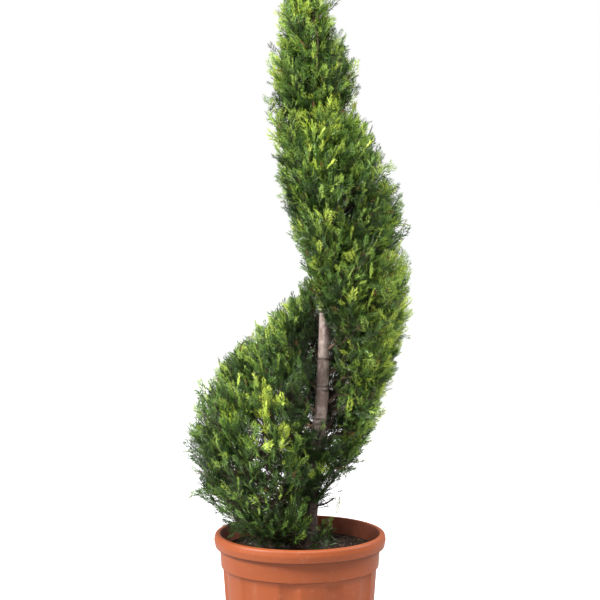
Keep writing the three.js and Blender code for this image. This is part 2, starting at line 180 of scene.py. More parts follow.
def node_surface(name):
    """Vertices and triangles of a CAD node."""
    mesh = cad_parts[name].data
    mesh.calc_loop_triangles()
    points = np.empty(len(mesh.vertices) * 3)
    mesh.vertices.foreach_get("co", points)
    corners = np.empty(len(mesh.loop_triangles) * 3, np.int32)
    mesh.loop_triangles.foreach_get("vertices", corners)
    return points.reshape(-1, 3), corners.reshape(-1, 3)


def mesh_object(name, points, faces, materials, slots=None, smooth=False):
    """One object from arrays: points (n, 3), faces (m, 3) or (m, 4), and a material index per face."""
    points = np.asarray(points, np.float32)
    faces = np.asarray(faces, np.int32)
    sides = faces.shape[1]
    mesh = bpy.data.meshes.new(name)
    mesh.vertices.add(len(points))
    mesh.vertices.foreach_set("co", points.ravel())
    mesh.loops.add(faces.size)
    mesh.loops.foreach_set("vertex_index", faces.ravel())
    mesh.polygons.add(len(faces))
    mesh.polygons.foreach_set("loop_start", np.arange(0, faces.size, sides, dtype=np.int32))
    for material in materials:
        mesh.materials.append(material)
    if slots is not None:
        mesh.polygons.foreach_set("material_index", np.asarray(slots, np.int32))
    mesh.update(calc_edges=True)
    mesh.validate()
    mesh.polygons.foreach_set("use_smooth", np.full(len(mesh.polygons), smooth))
    piece = bpy.data.objects.new(name, mesh)
    bpy.context.scene.collection.objects.link(piece)
    return piece


def settle(piece, slot, *nodes):
    """Makes a finished piece ride on the frame and stand for its CAD nodes; the slot argument is not used.
    """
    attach(piece, BODY)
    if nodes:
        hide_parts(*nodes)
    return piece


def unit(vectors):
    return vectors / np.maximum(np.linalg.norm(vectors, axis=-1, keepdims=True), 1e-9)


def ring_faces(rings, around):
    """Quads between successive closed rings of points."""
    ring = np.arange(rings - 1)[:, None] * around
    place = np.arange(around)[None, :]
    ahead = (place + 1) % around
    quads = np.stack([ring + place, ring + ahead, ring + around + ahead, ring + around + place], axis=-1)
    return quads.reshape(-1, 4)


def tubes(paths, radii, sides):
    """Tapered tubes: paths (count, steps, 3) and radii (count, steps) give points and quads."""
    count, steps, _ = paths.shape
    along = unit(np.gradient(paths, axis=1))
    chord = unit(paths[:, -1] - paths[:, 0])
    sag = paths[:, steps // 2] - paths[:, 0]
    hinge = np.cross(chord, sag)
    straight = np.linalg.norm(hinge, axis=1) < 1e-5
    spare = np.cross(chord, np.where(np.abs(chord[:, 2:3]) > 0.7, np.array([1.0, 0.0, 0.0]), UP))
    hinge[straight] = spare[straight]
    across = unit(np.repeat(unit(hinge)[:, None], steps, axis=1))
    above = np.cross(along, across)
    turn = np.arange(sides) / sides * 2 * math.pi
    wheel = across[..., None, :] * np.cos(turn)[:, None] + above[..., None, :] * np.sin(turn)[:, None]
    points = paths[:, :, None, :] + wheel * radii[:, :, None, None]
    one = ring_faces(steps, sides)
    faces = one[None] + (np.arange(count) * steps * sides)[:, None, None]
    return points.reshape(-1, 3), faces.reshape(-1, 4)


def bend(start, middle, end, steps):
    """Quadratic curves through arrays of start, control and end points."""
    share = np.linspace(0.0, 1.0, steps)[None, :, None]
    first = start[:, None] * (1 - share) ** 2
    second = middle[:, None] * 2 * share * (1 - share)
    return first + second + end[:, None] * share**2


# ------------------------------------------------------------------ materials


def new_group(name, inputs, outputs):
    """An empty shader node group with float sockets, or vector ones where the name ends in Vector."""
    group = bpy.data.node_groups.new(name, "ShaderNodeTree")
    for way, sockets in (("INPUT", inputs), ("OUTPUT", outputs)):
        for label in sockets:
            kind = "NodeSocketVector" if label.endswith("Vector") else "NodeSocketFloat"
            group.interface.new_socket(name=label, in_out=way, socket_type=kind)
    return group, group.nodes.new("NodeGroupInput"), group.nodes.new("NodeGroupOutput")


def patches_group():
    """Soft-edged patches of noise in the piece's own coordinates, stretched along an axis."""
    group, source, sink = new_group("Patches", ["Stretch Vector", "Scale", "From", "To"], ["Mask"])
    link = group.links.new
    place = group.nodes.new("ShaderNodeTexCoord")
    stretch = group.nodes.new("ShaderNodeVectorMath")
    stretch.operation = "MULTIPLY"
    cloud = group.nodes.new("ShaderNodeTexNoise")
    cloud.inputs["Detail"].default_value = 6.0
    cloud.inputs["Roughness"].default_value = 0.62
    limits = group.nodes.new("ShaderNodeMapRange")
    limits.interpolation_type = "SMOOTHSTEP"
    link(place.outputs["Object"], stretch.inputs[0])
    link(source.outputs["Stretch Vector"], stretch.inputs[1])
    link(stretch.outputs["Vector"], cloud.inputs["Vector"])
    link(source.outputs["Scale"], cloud.inputs["Scale"])
    link(cloud.outputs["Fac"], limits.inputs["Value"])
    link(source.outputs["From"], limits.inputs["From Min"])
    link(source.outputs["To"], limits.inputs["From Max"])
    link(limits.outputs["Result"], sink.inputs["Mask"])
    return group


def height_group():
    """A mask that rises from 0 to 1 between two heights on the piece."""
    group, source, sink = new_group("Height Band", ["Foot", "Top"], ["Mask"])
    link = group.links.new
    place = group.nodes.new("ShaderNodeTexCoord")
    split = group.nodes.new("ShaderNodeSeparateXYZ")
    limits = group.nodes.new("ShaderNodeMapRange")
    limits.interpolation_type = "SMOOTHSTEP"
    link(place.outputs["Object"], split.inputs["Vector"])
    link(split.outputs["Z"], limits.inputs["Value"])
    link(source.outputs["Foot"], limits.inputs["From Min"])
    link(source.outputs["Top"], limits.inputs["From Max"])
    link(limits.outputs["Result"], sink.inputs["Mask"])
    return group


class Finish:
    """A material under construction: its Principled shader and a few ways to drive it."""

    def __init__(self, name, colour, roughness, specular=0.5):
        self.material = bpy.data.materials.new(name)
        self.material.use_nodes = True
        self.tree = self.material.node_tree
        self.shader = self.tree.nodes["Principled BSDF"]
        self.shader.inputs["Base Color"].default_value = (*colour, 1.0)
        self.shader.inputs["Roughness"].default_value = roughness
        self.shader.inputs["Specular IOR Level"].default_value = specular
        self.material.diffuse_color = (*colour, 1.0)
        self.colour = None
        self.plain = colour

    def patches(self, scale, low, high, stretch=(1.0, 1.0, 1.0)):
        node = self.tree.nodes.new("ShaderNodeGroup")
        node.node_tree = bpy.data.node_groups.get("Patches") or patches_group()
        node.inputs["Stretch Vector"].default_value = stretch
        node.inputs["Scale"].default_value = scale
        node.inputs["From"].default_value = low
        node.inputs["To"].default_value = high
        return node.outputs["Mask"]

    def height(self, foot, top):
        node = self.tree.nodes.new("ShaderNodeGroup")
        node.node_tree = bpy.data.node_groups.get("Height Band") or height_group()
        node.inputs["Foot"].default_value = foot
        node.inputs["Top"].default_value = top
        return node.outputs["Mask"]

    def scaled(self, mask, amount, add=0.0):
        node = self.tree.nodes.new("ShaderNodeMath")
        node.operation = "MULTIPLY_ADD"
        self.tree.links.new(mask, node.inputs[0])
        node.inputs[1].default_value = amount
        node.inputs[2].default_value = add
        return node.outputs[0]

    def product(self, first, second):
        node = self.tree.nodes.new("ShaderNodeMath")
        node.operation = "MULTIPLY"
        self.tree.links.new(first, node.inputs[0])
        self.tree.links.new(second, node.inputs[1])
        return node.outputs[0]

    def tint(self, mask, colour):
        """Lays a colour over what is there, where the mask is 1."""
        node = self.tree.nodes.new("ShaderNodeMix")
        node.data_type = "RGBA"
        below, above = node.inputs[6], node.inputs[7]
        if self.colour is None:
            below.default_value = (*self.plain, 1.0)
        else:
            self.tree.links.new(self.colour, below)
        above.default_value = (*colour, 1.0)
        self.tree.links.new(mask, node.inputs[0])
        self.colour = node.outputs[2]
        self.tree.links.new(self.colour, self.shader.inputs["Base Color"])

    def rough(self, value):
        self.tree.links.new(value, self.shader.inputs["Roughness"])

    def bump(self, height, distance, strength=1.0):
        node = self.tree.nodes.new("ShaderNodeBump")
        node.inputs["Strength"].default_value = strength
        node.inputs["Distance"].default_value = distance
        self.tree.links.new(height, node.inputs["Height"])
        self.tree.links.new(node.outputs["Normal"], self.shader.inputs["Normal"])


def darker(colour, share):
    return tuple(part * share for part in colour)


def blended(first, second, share):
    return tuple(a + (b - a) * share for a, b in zip(first, second))


def plastic_finish(name, colour, dirt, dirt_top, painted_groove_shade=()):
    """Moulded plastic, a little dusty, scuffed, splashed near its foot, and darkened by painted shade in
    thin bands under its lip and under its collar.
    """
    finish = Finish(name, colour, 0.5, 0.32)
    broad = finish.patches(9.0, 0.42, 0.66)
    dust = finish.patches(70.0, 0.55, 0.72)
    scuffs = finish.patches(30.0, 0.60, 0.74, (1.0, 1.0, 0.16))
    finish.tint(finish.scaled(broad, 0.35), darker(colour, 0.86))
    finish.tint(finish.scaled(dust, 0.08), blended(colour, (0.8, 0.72, 0.62), 0.5))
    finish.tint(finish.scaled(scuffs, 0.14), blended(colour, (0.8, 0.6, 0.5), 0.4))
    grime = finish.product(finish.patches(26.0, 0.45, 0.65), finish.height(dirt_top, dirt_top - 0.03))
    finish.tint(finish.scaled(grime, 0.55), dirt)
    # painted shade: thin dark bands under the lip's undercut and under the collar's ledge, where shadow
    # falls
    for foot, top, depth in painted_groove_shade:
        groove_shade_band = finish.product(finish.height(foot - 0.6 * MM, foot), finish.height(top + 0.6 * MM, top))
        finish.tint(finish.scaled(groove_shade_band, depth), darker(colour, 0.12))
    finish.rough(finish.scaled(dust, 0.12, 0.46))
    finish.bump(finish.patches(420.0, 0.3, 0.7), 0.00012, 0.5)
    return finish.material


def soil_finish(colour):
    """Moist bark-and-peat mix with paler fibres and dark wet patches."""
    finish = Finish("potting_soil", colour, 0.92, 0.25)
    finish.tint(finish.patches(60.0, 0.45, 0.62), darker(colour, 0.5))
    crumbs = finish.scaled(finish.patches(150.0, 0.60, 0.68), 0.8)
    finish.tint(crumbs, blended(colour, (0.3, 0.2, 0.13), 0.5))
    finish.bump(finish.patches(380.0, 0.3, 0.7), 0.0012, 0.8)
    return finish.material


def bark_finish(name, colour, pale, limb):
    """Grey-brown fibrous bark with pale flaking patches, dark ring-like scars, and a lower stretch darkened
    partly as damp bark and partly as painted shade under the foliage.
    """
    finish = Finish(name, colour, 0.8, 0.35)
    finish.tint(finish.patches(46.0, 0.44, 0.60, (1.0, 1.0, 0.9)), pale)
    cracks = finish.patches(150.0, 0.56, 0.68, (1.0, 1.0, 0.14))
    finish.tint(finish.scaled(cracks, 0.45), tuple(limb.bark_dark))
    rings = finish.patches(64.0, 0.55, 0.61, (0.14, 0.14, 1.0))
    finish.tint(finish.scaled(rings, 0.85), darker(tuple(limb.bark_dark), 0.8))
    # painted shade with real damp: the trunk darkens towards the soil, below the foliage
    damp_and_shade = finish.scaled(finish.height(GROUND + 0.23, GROUND + 0.17), 0.84)
    finish.tint(damp_and_shade, darker(tuple(limb.bark_dark), 0.5))
    finish.bump(finish.patches(260.0, 0.3, 0.7, (1.0, 1.0, 0.5)), 0.0008, 0.9)
    return finish.material


def twig_finish(colour):
    """Thin red-brown bark of young wood."""
    finish = Finish("twig_bark", colour, 0.8, 0.3)
    finish.tint(finish.patches(45.0, 0.45, 0.62), darker(colour, 0.55))
    return finish.material


def leaf_finish(name, colour):
    """One plain tint of scale leaves, with the soft gloss of their waxy skin."""
    return Finish(name, colour, 0.38, 0.5).material


# ------------------------------------------------------------------ container


def filleted(corners, steps=5):
    """An outline of (radius, height, fillet) corners with each corner rounded by its fillet."""
    outline = []
    for index, (x, z, fillet) in enumerate(corners):
        here = np.array([x, z])
        if fillet <= 0 or index in (0, len(corners) - 1):
            outline.append(here)
            continue
        before = unit(np.array(corners[index - 1][:2]) - here)
        after = unit(np.array(corners[index + 1][:2]) - here)
        angle = math.acos(float(np.clip(before @ after, -1, 1)))
        trim = fillet / math.tan(angle / 2)
        start, end = here + before * trim, here + after * trim
        for step in range(steps + 1):
            share = step / steps
            outline.append(start * (1 - share) ** 2 + here * 2 * share * (1 - share) + end * share**2)
    return np.array(outline)


def subdivided(outline, longest):
    """The outline with points added so that no stretch is longer than a given length."""
    points = [outline[0]]
    for before, after in zip(outline[:-1], outline[1:]):
        pieces = max(1, math.ceil(float(np.linalg.norm(after - before)) / longest))
        points.extend(before + (after - before) * step / pieces for step in range(1, pieces + 1))
    return np.array(points)


def lathe_points(outline, angles):
    """Rings of points, one ring per outline point."""
    radius = outline[:, 0][:, None]
    x = radius * np.sin(angles)[None, :]
    y = -radius * np.cos(angles)[None, :]
    z = np.repeat(outline[:, 1][:, None], len(angles), axis=1)
    return np.stack([x, y, z], axis=-1)


COLLAR_TOP = POT_HEIGHT - 24.0 * MM
COLLAR_FOOT = POT_HEIGHT - 57.0 * MM
BODY_TOP = POT_HEIGHT - 58.2 * MM
FLUTE_FOOT = 12.0 * MM
DRAIN_CIRCLE = 72.0 * MM
DRAIN_RADIUS = 6.0 * MM


def container_outline():
    """Half section of the container: foot, fluted body, smooth collar, rolled lip, inner wall."""
    rim = POT_RADIUS
    return filleted(
        [
            (0.0, 0.0, 0.0),
            (rim - 29.5 * MM, 0.0, 3.0 * MM),
            (rim - 15.2 * MM, BODY_TOP, 0.0),
            (rim - 12.2 * MM, COLLAR_FOOT - 0.6 * MM, 0.5 * MM),
            (rim - 10.0 * MM, COLLAR_TOP - 0.6 * MM, 0.4 * MM),
            (rim - 12.4 * MM, COLLAR_TOP + 2.4 * MM, 0.5 * MM),
            (rim - 2.2 * MM, POT_HEIGHT - 23.2 * MM, 1.2 * MM),
            (rim, POT_HEIGHT - 11.0 * MM, 7.0 * MM),
            (rim - 2.0 * MM, POT_HEIGHT, 6.0 * MM),
            (rim - 11.0 * MM, POT_HEIGHT, 3.0 * MM),
            (rim - 16.0 * MM, COLLAR_TOP, 4.0 * MM),
            (rim - 21.6 * MM, BODY_TOP, 2.0 * MM),
            (rim - 36.0 * MM, 4.0 * MM, 3.0 * MM),
            (0.0, 4.0 * MM, 0.0),
        ]
    )


def flute_cut(angles, heights, count, first, depth):
    """How deep the flutes cut at each height and angle: shallow troughs that end under the collar."""
    pitch = 2 * math.pi / count
    across = np.abs((angles - first + pitch / 2) % pitch - pitch / 2) / (pitch * 0.23)
    inside = np.clip(1 - across**2, 0, 1) ** 0.75
    above = np.clip((heights[:, None] - FLUTE_FOOT) / (8.0 * MM), 0, 1)
    return depth * inside[None, :] * above


def outward_sheet(name, points, materials, slots=None, smooth=True):
    """A closed lathe skin from rings of points that start and end on the axis."""
    rings, around, _ = points.shape
    quads = ring_faces(rings, around)
    piece = mesh_object(name, points.reshape(-1, 3), quads, materials, slots, smooth)
    weld(piece)
    return piece


def weld(piece, distance=1e-6):
    """Joins the points that meet on the axis and drops the faces that have no area."""
    work = bmesh.new()
    work.from_mesh(piece.data)
    bmesh.ops.remove_doubles(work, verts=work.verts, dist=distance)
    bmesh.ops.dissolve_degenerate(work, edges=work.edges, dist=distance)
    bmesh.ops.recalc_face_normals(work, faces=work.faces)
    work.to_mesh(piece.data)
    work.free()


def drained(pot, count, circle, radius):
    """Cuts the round drain holes through the container's floor."""
    work = bmesh.new()
    for index in range(count):
        turn = index / count * 2 * math.pi
        place = Matrix.Translation((circle * math.cos(turn), circle * math.sin(turn), 2 * MM))
        bmesh.ops.create_cone(
            work, cap_ends=True, segments=20, radius1=radius, radius2=radius, depth=12 * MM, matrix=place
        )
    mesh = bpy.data.meshes.new("drain_rods")
    work.to_mesh(mesh)
    work.free()
    rods = bpy.data.objects.new("drain_rods", mesh)
    bpy.context.scene.collection.objects.link(rods)
    cut = pot.modifiers.new("drain_holes", "BOOLEAN")
    cut.operation, cut.solver, cut.object = "DIFFERENCE", "EXACT", rods
    bpy.context.view_layer.update()
    whole = pot.evaluated_get(bpy.context.evaluated_depsgraph_get())
    shaped = bpy.data.meshes.new_from_object(whole)
    pot.modifiers.clear()
    pot.data = shaped
    bpy.data.objects.remove(rods)


class TOPIARY_OT_container(bpy.types.Operator):
    """Turn the container with its lip, collar and flutes"""

    bl_idname = "topiary.container"
    bl_label = "Container"

    around: bpy.props.IntProperty(name="Segments", default=264)

    def execute(self, context):
        settings = context.scene.topiary_container
        outline = subdivided(container_outline(), 12.0 * MM)
        outer = np.arange(len(outline)) < int(np.argmax(outline[:, 0]))
        fluted = outer & (outline[:, 1] <= BODY_TOP + 1e-6)
        angles = np.arange(self.around) / self.around * 2 * math.pi
        points = lathe_points(outline, angles)
        cut = flute_cut(
            angles, outline[:, 1], settings.flutes, settings.first_flute, settings.flute_depth
        )
        radius = np.maximum(outline[:, 0], 1e-9)[:, None]
        share = 1 - np.where(fluted[:, None] & (radius > 0.1), cut / radius, 0)
        points[..., :2] *= share[..., None]
        inside = np.arange(len(outline) - 1) > int(np.argmax(outline[:, 1])) + 4
        slots = np.repeat(inside.astype(int), self.around)
        dirt = tuple(settings.soil)
        # painted shade under the lip and under the collar's foot: foot, top and darkness of each band
        painted_groove_shade = ((COLLAR_TOP, COLLAR_TOP + 2.0 * MM, 0.85), (BODY_TOP - 0.9 * MM, BODY_TOP, 0.6))
        outside_finish = plastic_finish("container_plastic", tuple(settings.plastic), dirt, 0.03, painted_groove_shade)
        inside_finish = plastic_finish(
            "container_inner_wall", tuple(settings.plastic_inside), dirt, POT_HEIGHT - 0.004
        )
        pot = outward_sheet("container", points, [outside_finish, inside_finish], slots)
        drained(pot, settings.drain_holes, DRAIN_CIRCLE, DRAIN_RADIUS)
        settle(pot, "container", "pot")
        return {"FINISHED"}


# ------------------------------------------------------------------ soil


def soil_level(radius):
    """Height of the soil's surface: level round the trunk, banked up towards the wall."""
    edge = POT_RADIUS - 17.0 * MM
    share = np.clip((radius - 0.07) / (edge - 0.07), 0, 1)
    return GROUND - 0.4 * MM + 5.0 * MM * share**1.5


def soil_relief(x, y):
    """Clods and hollows of the soil's surface, in metres."""
    broad = noise.noise(Vector((x * 38, y * 38, 3.1)))
    clods = noise.noise(Vector((x * 120, y * 120, 7.7)))
    grains = noise.noise(Vector((x * 330, y * 330, 1.3)))
    return (1.6 * broad + 1.5 * clods + 0.8 * grains) * MM


def crumbs(rng, count, low, high, size):
    """Bark chips and clods strewn between two radii: squashed, jittered eight-sided lumps."""
    corners = np.array([[1, 0, 0], [-1, 0, 0], [0, 1, 0], [0, -1, 0], [0, 0, 1], [0, 0, -1]], float)
    sides = np.array(
        [[0, 2, 4], [2, 1, 4], [1, 3, 4], [3, 0, 4], [2, 0, 5], [1, 2, 5], [3, 1, 5], [0, 3, 5]]
    )
    angle = rng.uniform(0, 2 * math.pi, count)
    radius = np.sqrt(rng.uniform(low**2, high**2, count))
    x, y = radius * np.cos(angle), radius * np.sin(angle)
    z = soil_level(radius) + np.array([soil_relief(a, b) for a, b in zip(x, y)])
    grade = rng.lognormal(0.0, 0.35, (count, 1))
    shape = size * grade * rng.uniform([0.6, 0.35, 0.2], [1.8, 0.8, 0.5], (count, 3))
    lumps = corners[None] * shape[:, None] * rng.uniform(0.7, 1.2, (count, 6, 1))
    spin = rng.uniform(0, 2 * math.pi, count)
    tilt = rng.normal(0, 0.3, count)
    c, s = np.cos(spin)[:, None], np.sin(spin)[:, None]
    across, along, height = lumps[..., 0], lumps[..., 1], lumps[..., 2]
    turned = np.stack([across * c - along * s, across * s + along * c, height], axis=-1)
    turned[..., 2] += turned[..., 0] * np.tan(tilt)[:, None]
    points = turned + np.stack([x, y, z], axis=-1)[:, None]
    faces = sides[None] + (np.arange(count) * 6)[:, None, None]
    return points.reshape(-1, 3), faces.reshape(-1, 3)


class TOPIARY_OT_soil(bpy.types.Operator):
    """Fill the container with uneven potting soil and strew it with chips"""

    bl_idname = "topiary.soil"
    bl_label = "Potting Soil"

    around: bpy.props.IntProperty(name="Segments", default=180)
    chips: bpy.props.IntProperty(name="Chips", default=900)
    seed: bpy.props.IntProperty(name="Seed", default=11)

    def execute(self, context):
        settings = context.scene.topiary_container
        edge = POT_RADIUS - 17.2 * MM
        radii = np.linspace(0.0, edge, 76)
        surface = np.stack([radii, soil_level(radii)], axis=-1)[::-1]
        underside = 4.6 * MM
        floor = [
            (0.0, underside),
            (POT_RADIUS - 40.0 * MM, underside),
            (POT_RADIUS - 23.2 * MM, BODY_TOP - 2 * MM),
        ]
        outline = np.concatenate([subdivided(np.array(floor), 0.02), surface])
        angles = np.arange(self.around) / self.around * 2 * math.pi
        points = lathe_points(outline, angles)
        first = len(outline) - len(surface) + 1
        for ring in points[first:-1]:
            for point in ring:
                point[2] += soil_relief(point[0], point[1])
        soil_material = soil_finish(tuple(settings.soil))
        soil = outward_sheet("soil_fill", points, [soil_material])
        settle(soil, "soil", "soil")
        rng = np.random.default_rng(self.seed)
        chip_points, chip_faces = crumbs(rng, self.chips, 0.03, edge - 0.004, 3.2 * MM)
        chip_material = soil_finish(blended(tuple(settings.soil), (0.16, 0.09, 0.05), 0.5))
        chip_material.name = "soil_chips"
        settle(mesh_object("soil_chips", chip_points, chip_faces, [chip_material]), "soil")
        return {"FINISHED"}


# ------------------------------------------------------------------ trunk and boughs


def trunk_rings():
    """Heights, centres and radii of the CAD trunk's level rings."""
    points, _ = node_surface("trunk")
    levels = np.unique(np.round(points[:, 2], 5))
    rows = []
    for level in levels:
        ring = points[np.abs(points[:, 2] - level) < 2e-5]
        if len(ring) < 6:
            continue
        centre = ring[:, :2].mean(axis=0)
        reach = np.linalg.norm(ring[:, :2] - centre, axis=1)
        rows.append((level, *centre, np.median(reach[reach > reach.max() * 0.5])))
    return np.array(rows)


TRUNK = trunk_rings()


def trunk_at(height):
    """Centre points and radii of the trunk at the given heights."""
    height = np.asarray(height, float)
    x = np.interp(height, TRUNK[:, 0], TRUNK[:, 1])
    y = np.interp(height, TRUNK[:, 0], TRUNK[:, 2])
    return np.stack([x, y, height], axis=-1), np.interp(height, TRUNK[:, 0], TRUNK[:, 3])


def bough_line(name):
    """Root, middle and end of a CAD bough with its radii, the root lying nearest the trunk."""
    points, _ = node_surface(name)
    centres, _ = trunk_at(points[:, 2])
    away = np.linalg.norm((points - centres)[:, :2], axis=1)
    order = np.argsort(away)
    near, far = points[order[:8]], points[order[-8:]]
    root, end = near.mean(axis=0), far.mean(axis=0)
    middle_share = np.abs(away - away[order].mean())
    middle = points[np.argsort(middle_share)[:10]].mean(axis=0)
    spread = np.linalg.norm(far - end, axis=1).max()
    return root, middle, end, max(spread, 2.0 * MM)


def bark_relief(point, angle, girth, depth):
    """Bark relief at one spot: long fibrous ridges, finer furrows and level ring scars."""
    x, y, z = math.cos(angle) * girth, math.sin(angle) * girth, point
    ridges = noise.noise(Vector((x * 260, y * 260, z * 22)))
    fibres = noise.noise(Vector((x * 620, y * 620, z * 60 + 5)))
    ring = noise.noise(Vector((x * 22, y * 22, z * 190 + 9)))
    scar = max(0.0, ring - 0.22) * 2.6
    return depth * (0.42 * ridges + 0.30 * fibres - scar)


def limb_skin(path, radii, sides, depth):
    """A tube round one path whose skin carries the bark's relief; both ends are closed."""
    points, faces = tubes(path[None], radii[None], sides)
    rings = points.reshape(len(path), sides, 3)
    travelled = np.concatenate([[0], np.cumsum(np.linalg.norm(np.diff(path, axis=0), axis=1))])
    for step, (centre, ring) in enumerate(zip(path, rings)):
        for side in range(sides):
            angle = side / sides * 2 * math.pi
            relief = bark_relief(travelled[step] + path[0][0], angle, radii[step], depth)
            outward = unit(ring[side] - centre)
            ring[side] += outward * relief * min(1.0, radii[step] / (4 * MM))
    cap = len(points)
    points = np.concatenate([rings.reshape(-1, 3), path[:1], path[-1:]])
    last = (len(path) - 1) * sides
    around = np.arange(sides)
    ahead = (around + 1) % sides
    start_cap = np.stack([np.full(sides, cap), ahead, around], axis=-1)
    end_cap = np.stack([np.full(sides, cap + 1), last + around, last + ahead], axis=-1)
    triangles = np.concatenate([faces[:, [0, 1, 2]], faces[:, [0, 2, 3]], start_cap, end_cap])
    return points, triangles


def joined(parts):
    """Points and faces of several meshes as one."""
    points, faces, start = [], [], 0
    for part_points, part_faces in parts:
        points.append(part_points)
        faces.append(part_faces + start)
        start += len(part_points)
    return np.concatenate(points), np.concatenate(faces)


def trunk_skin(depth):
    """The trunk with root flare, burls, branch collars and bark."""
    foot, top = TRUNK[0, 0], TRUNK[-1, 0]
    heights = np.concatenate([np.arange(foot, 0.66, 1.8 * MM), np.arange(0.66, top, 7.0 * MM), [top]])
    sides = 56
    centres, _ = trunk_at(heights)
    cad_points, cad_faces = node_surface("trunk")
    skin = BVHTree.FromPolygons(cad_points.tolist(), cad_faces.tolist())
    points = np.empty((len(heights), sides, 3))
    for row, centre in enumerate(centres):
        probe = Vector(centre)
        probe.z = min(max(probe.z, foot + 1e-4), top - 1e-4)
        for side in range(sides):
            angle = side / sides * 2 * math.pi
            out = Vector((math.cos(angle), math.sin(angle), 0.0))
            hit = skin.ray_cast(probe, out, 0.1)
            reach = hit[3] if hit[0] is not None else 1.6 * MM
            relief = bark_relief(centre[2], angle, reach, depth) * min(1.0, reach / (6 * MM))
            points[row, side] = centre + np.array(out) * (reach + relief)
    points[:, :, 2] = heights[:, None]
    quads = ring_faces(len(heights), sides)
    flat = points.reshape(-1, 3)
    cap = len(flat)
    around = np.arange(sides)
    ahead = (around + 1) % sides
    last = (len(heights) - 1) * sides
    foot_cap = np.stack([np.full(sides, cap), ahead, around], axis=-1)
    top_cap = np.stack([np.full(sides, cap + 1), last + around, last + ahead], axis=-1)
    flat = np.concatenate([flat, centres[:1], centres[-1:]])
    triangles = np.concatenate([quads[:, [0, 1, 2]], quads[:, [0, 2, 3]], foot_cap, top_cap])
    return flat, triangles


class TOPIARY_OT_trunk(bpy.types.Operator):
    """Cover the trunk with bark"""

    bl_idname = "topiary.trunk"
    bl_label = "Trunk"

    def execute(self, context):
        limb = context.scene.topiary_limbs
        points, faces = trunk_skin(limb.relief)
        bark = bark_finish("bark", tuple(limb.bark), tuple(limb.bark_pale), limb)
        trunk = mesh_object("trunk_bark", points, faces, [bark], smooth=True)
        settle(trunk, "bark", "trunk")
        return {"FINISHED"}


# ------------------------------------------------------------------ foliage


def blade(parts, base, tip, width, outer, lift=0.0):
    """Adds one scaly branchlet to a spray: a kite folded along its midrib, flat in x and y."""
    base, tip = np.asarray(base, float), np.asarray(tip, float)
    along = tip - base
    across = np.array([-along[1], along[0], 0.0])
    across = across / max(np.linalg.norm(across), 1e-9) * width / 2
    middle = base + along * 0.4
    fold = np.array([0.0, 0.0, -0.35 * width])
    rise = np.array([0.0, 0.0, lift])
    corners = [base, middle + across + fold, tip + rise, middle - across + fold]
    start = len(parts["points"])
    parts["points"].extend(corners)
    parts["faces"].extend([[start, start + 3, start + 2], [start, start + 2, start + 1]])
    parts["outer"].extend([outer, outer])


def heading(angle):
    return np.array([math.sin(angle), math.cos(angle), 0.0])


def spray_shape(rng, width):
    """One narrow feathery spray of unit length along y: a leader, side shoots and branchlets."""
    parts = {"points": [], "faces": [], "outer": []}
    shoots = int(rng.integers(9, 12))
    lean = rng.normal(0, 0.06)

    def leader(share):
        return np.array([lean * math.sin(share * math.pi), share, 0.0])

    for low, high in ((0.0, 0.46), (0.40, 0.80), (0.72, 1.0)):
        blade(parts, leader(low), leader(high), width * 1.1, high > 0.9)
    for index in range(shoots):
        share = 0.07 + 0.74 * (index + 0.5 + rng.uniform(-0.3, 0.3)) / shoots
        side = 1 if index % 2 else -1
        length = (0.42 * (1 - share) ** 0.7 + 0.09) * rng.uniform(0.6, 1.3)
        length *= min(1.0, 0.6 + 2 * share)
        angle = math.radians(rng.uniform(17, 35)) * side
        root = leader(share)
        outer = share + length > 0.62
        blade(parts, root, root + heading(angle) * length, width, outer, rng.normal(0, 0.05))
        for twig, place in enumerate((0.28, 0.56) if length > 0.2 else (0.45,)):
            turn = angle + math.radians(rng.uniform(16, 32)) * (1 if (twig + index) % 2 else -1)
            reach = length * (0.66 - 0.35 * place) * rng.uniform(0.8, 1.25)
            start = root + heading(angle) * length * place
            tipward = outer or place > 0.5 and rng.random() < 0.5
            blade(parts, start, start + heading(turn) * reach, width * 0.9, tipward, rng.normal(0, 0.04))
    points = np.array(parts["points"])
    points[:, 2] += rng.uniform(-1.0, 1.0) * points[:, 0] ** 2
    return points, np.array(parts["faces"]), np.array(parts["outer"])


class Mass:
    """One CAD mass of foliage, as the space its sprays fill."""

    def __init__(self, name):
        self.name = name
        self.points, self.faces = node_surface(name)
        a, b, c = (self.points[self.faces[:, k]] for k in range(3))
        if np.einsum("ij,ij->i", a, np.cross(b, c)).sum() < 0:
            self.faces = self.faces[:, ::-1]
        self.tree = BVHTree.FromPolygons(self.points.tolist(), self.faces.tolist())

    def samples(self, rng, count):
        """Random places on the surface, evenly by area, with the outward normals there."""
        a, b, c = (self.points[self.faces[:, k]] for k in range(3))
        normal = np.cross(b - a, c - a)
        area = np.linalg.norm(normal, axis=1)
        chosen = rng.choice(len(self.faces), count, p=area / area.sum())
        u, v = rng.random(count), rng.random(count)
        over = u + v > 1
        u[over], v[over] = 1 - u[over], 1 - v[over]
        places = a[chosen] + (b - a)[chosen] * u[:, None] + (c - a)[chosen] * v[:, None]
        return places, unit(normal[chosen]), area.sum() / 2

    def thickness(self, place, inward):
        """How thick the mass is from a place on its surface, going inward."""
        hit = self.tree.ray_cast(Vector(place + inward * 1e-4), Vector(inward), 0.5)
        return hit[3] if hit[0] is not None else 0.0

    def height_above(self, points):
        """Distance of points from the surface, positive outside the mass."""
        heights = np.empty(len(points))
        probe = Vector((0.36, -0.48, 0.8))
        for index, point in enumerate(points):
            place = Vector(point)
            _, normal, _, _ = self.tree.ray_cast(place, probe)
            inside = normal is not None and normal.dot(probe) > 0
            heights[index] = self.tree.find_nearest(place)[3] * (-1 if inside else 1)
        return heights


SEAM_REACH = 16.0 * MM
CANDIDATES = 2600


def outward_from_stem(points):
    """Level unit vectors from the trunk's centre line towards points."""
    centre, _ = trunk_at(points[:, 2])
    away = points - centre
    away[:, 2] = 0
    return unit(away)


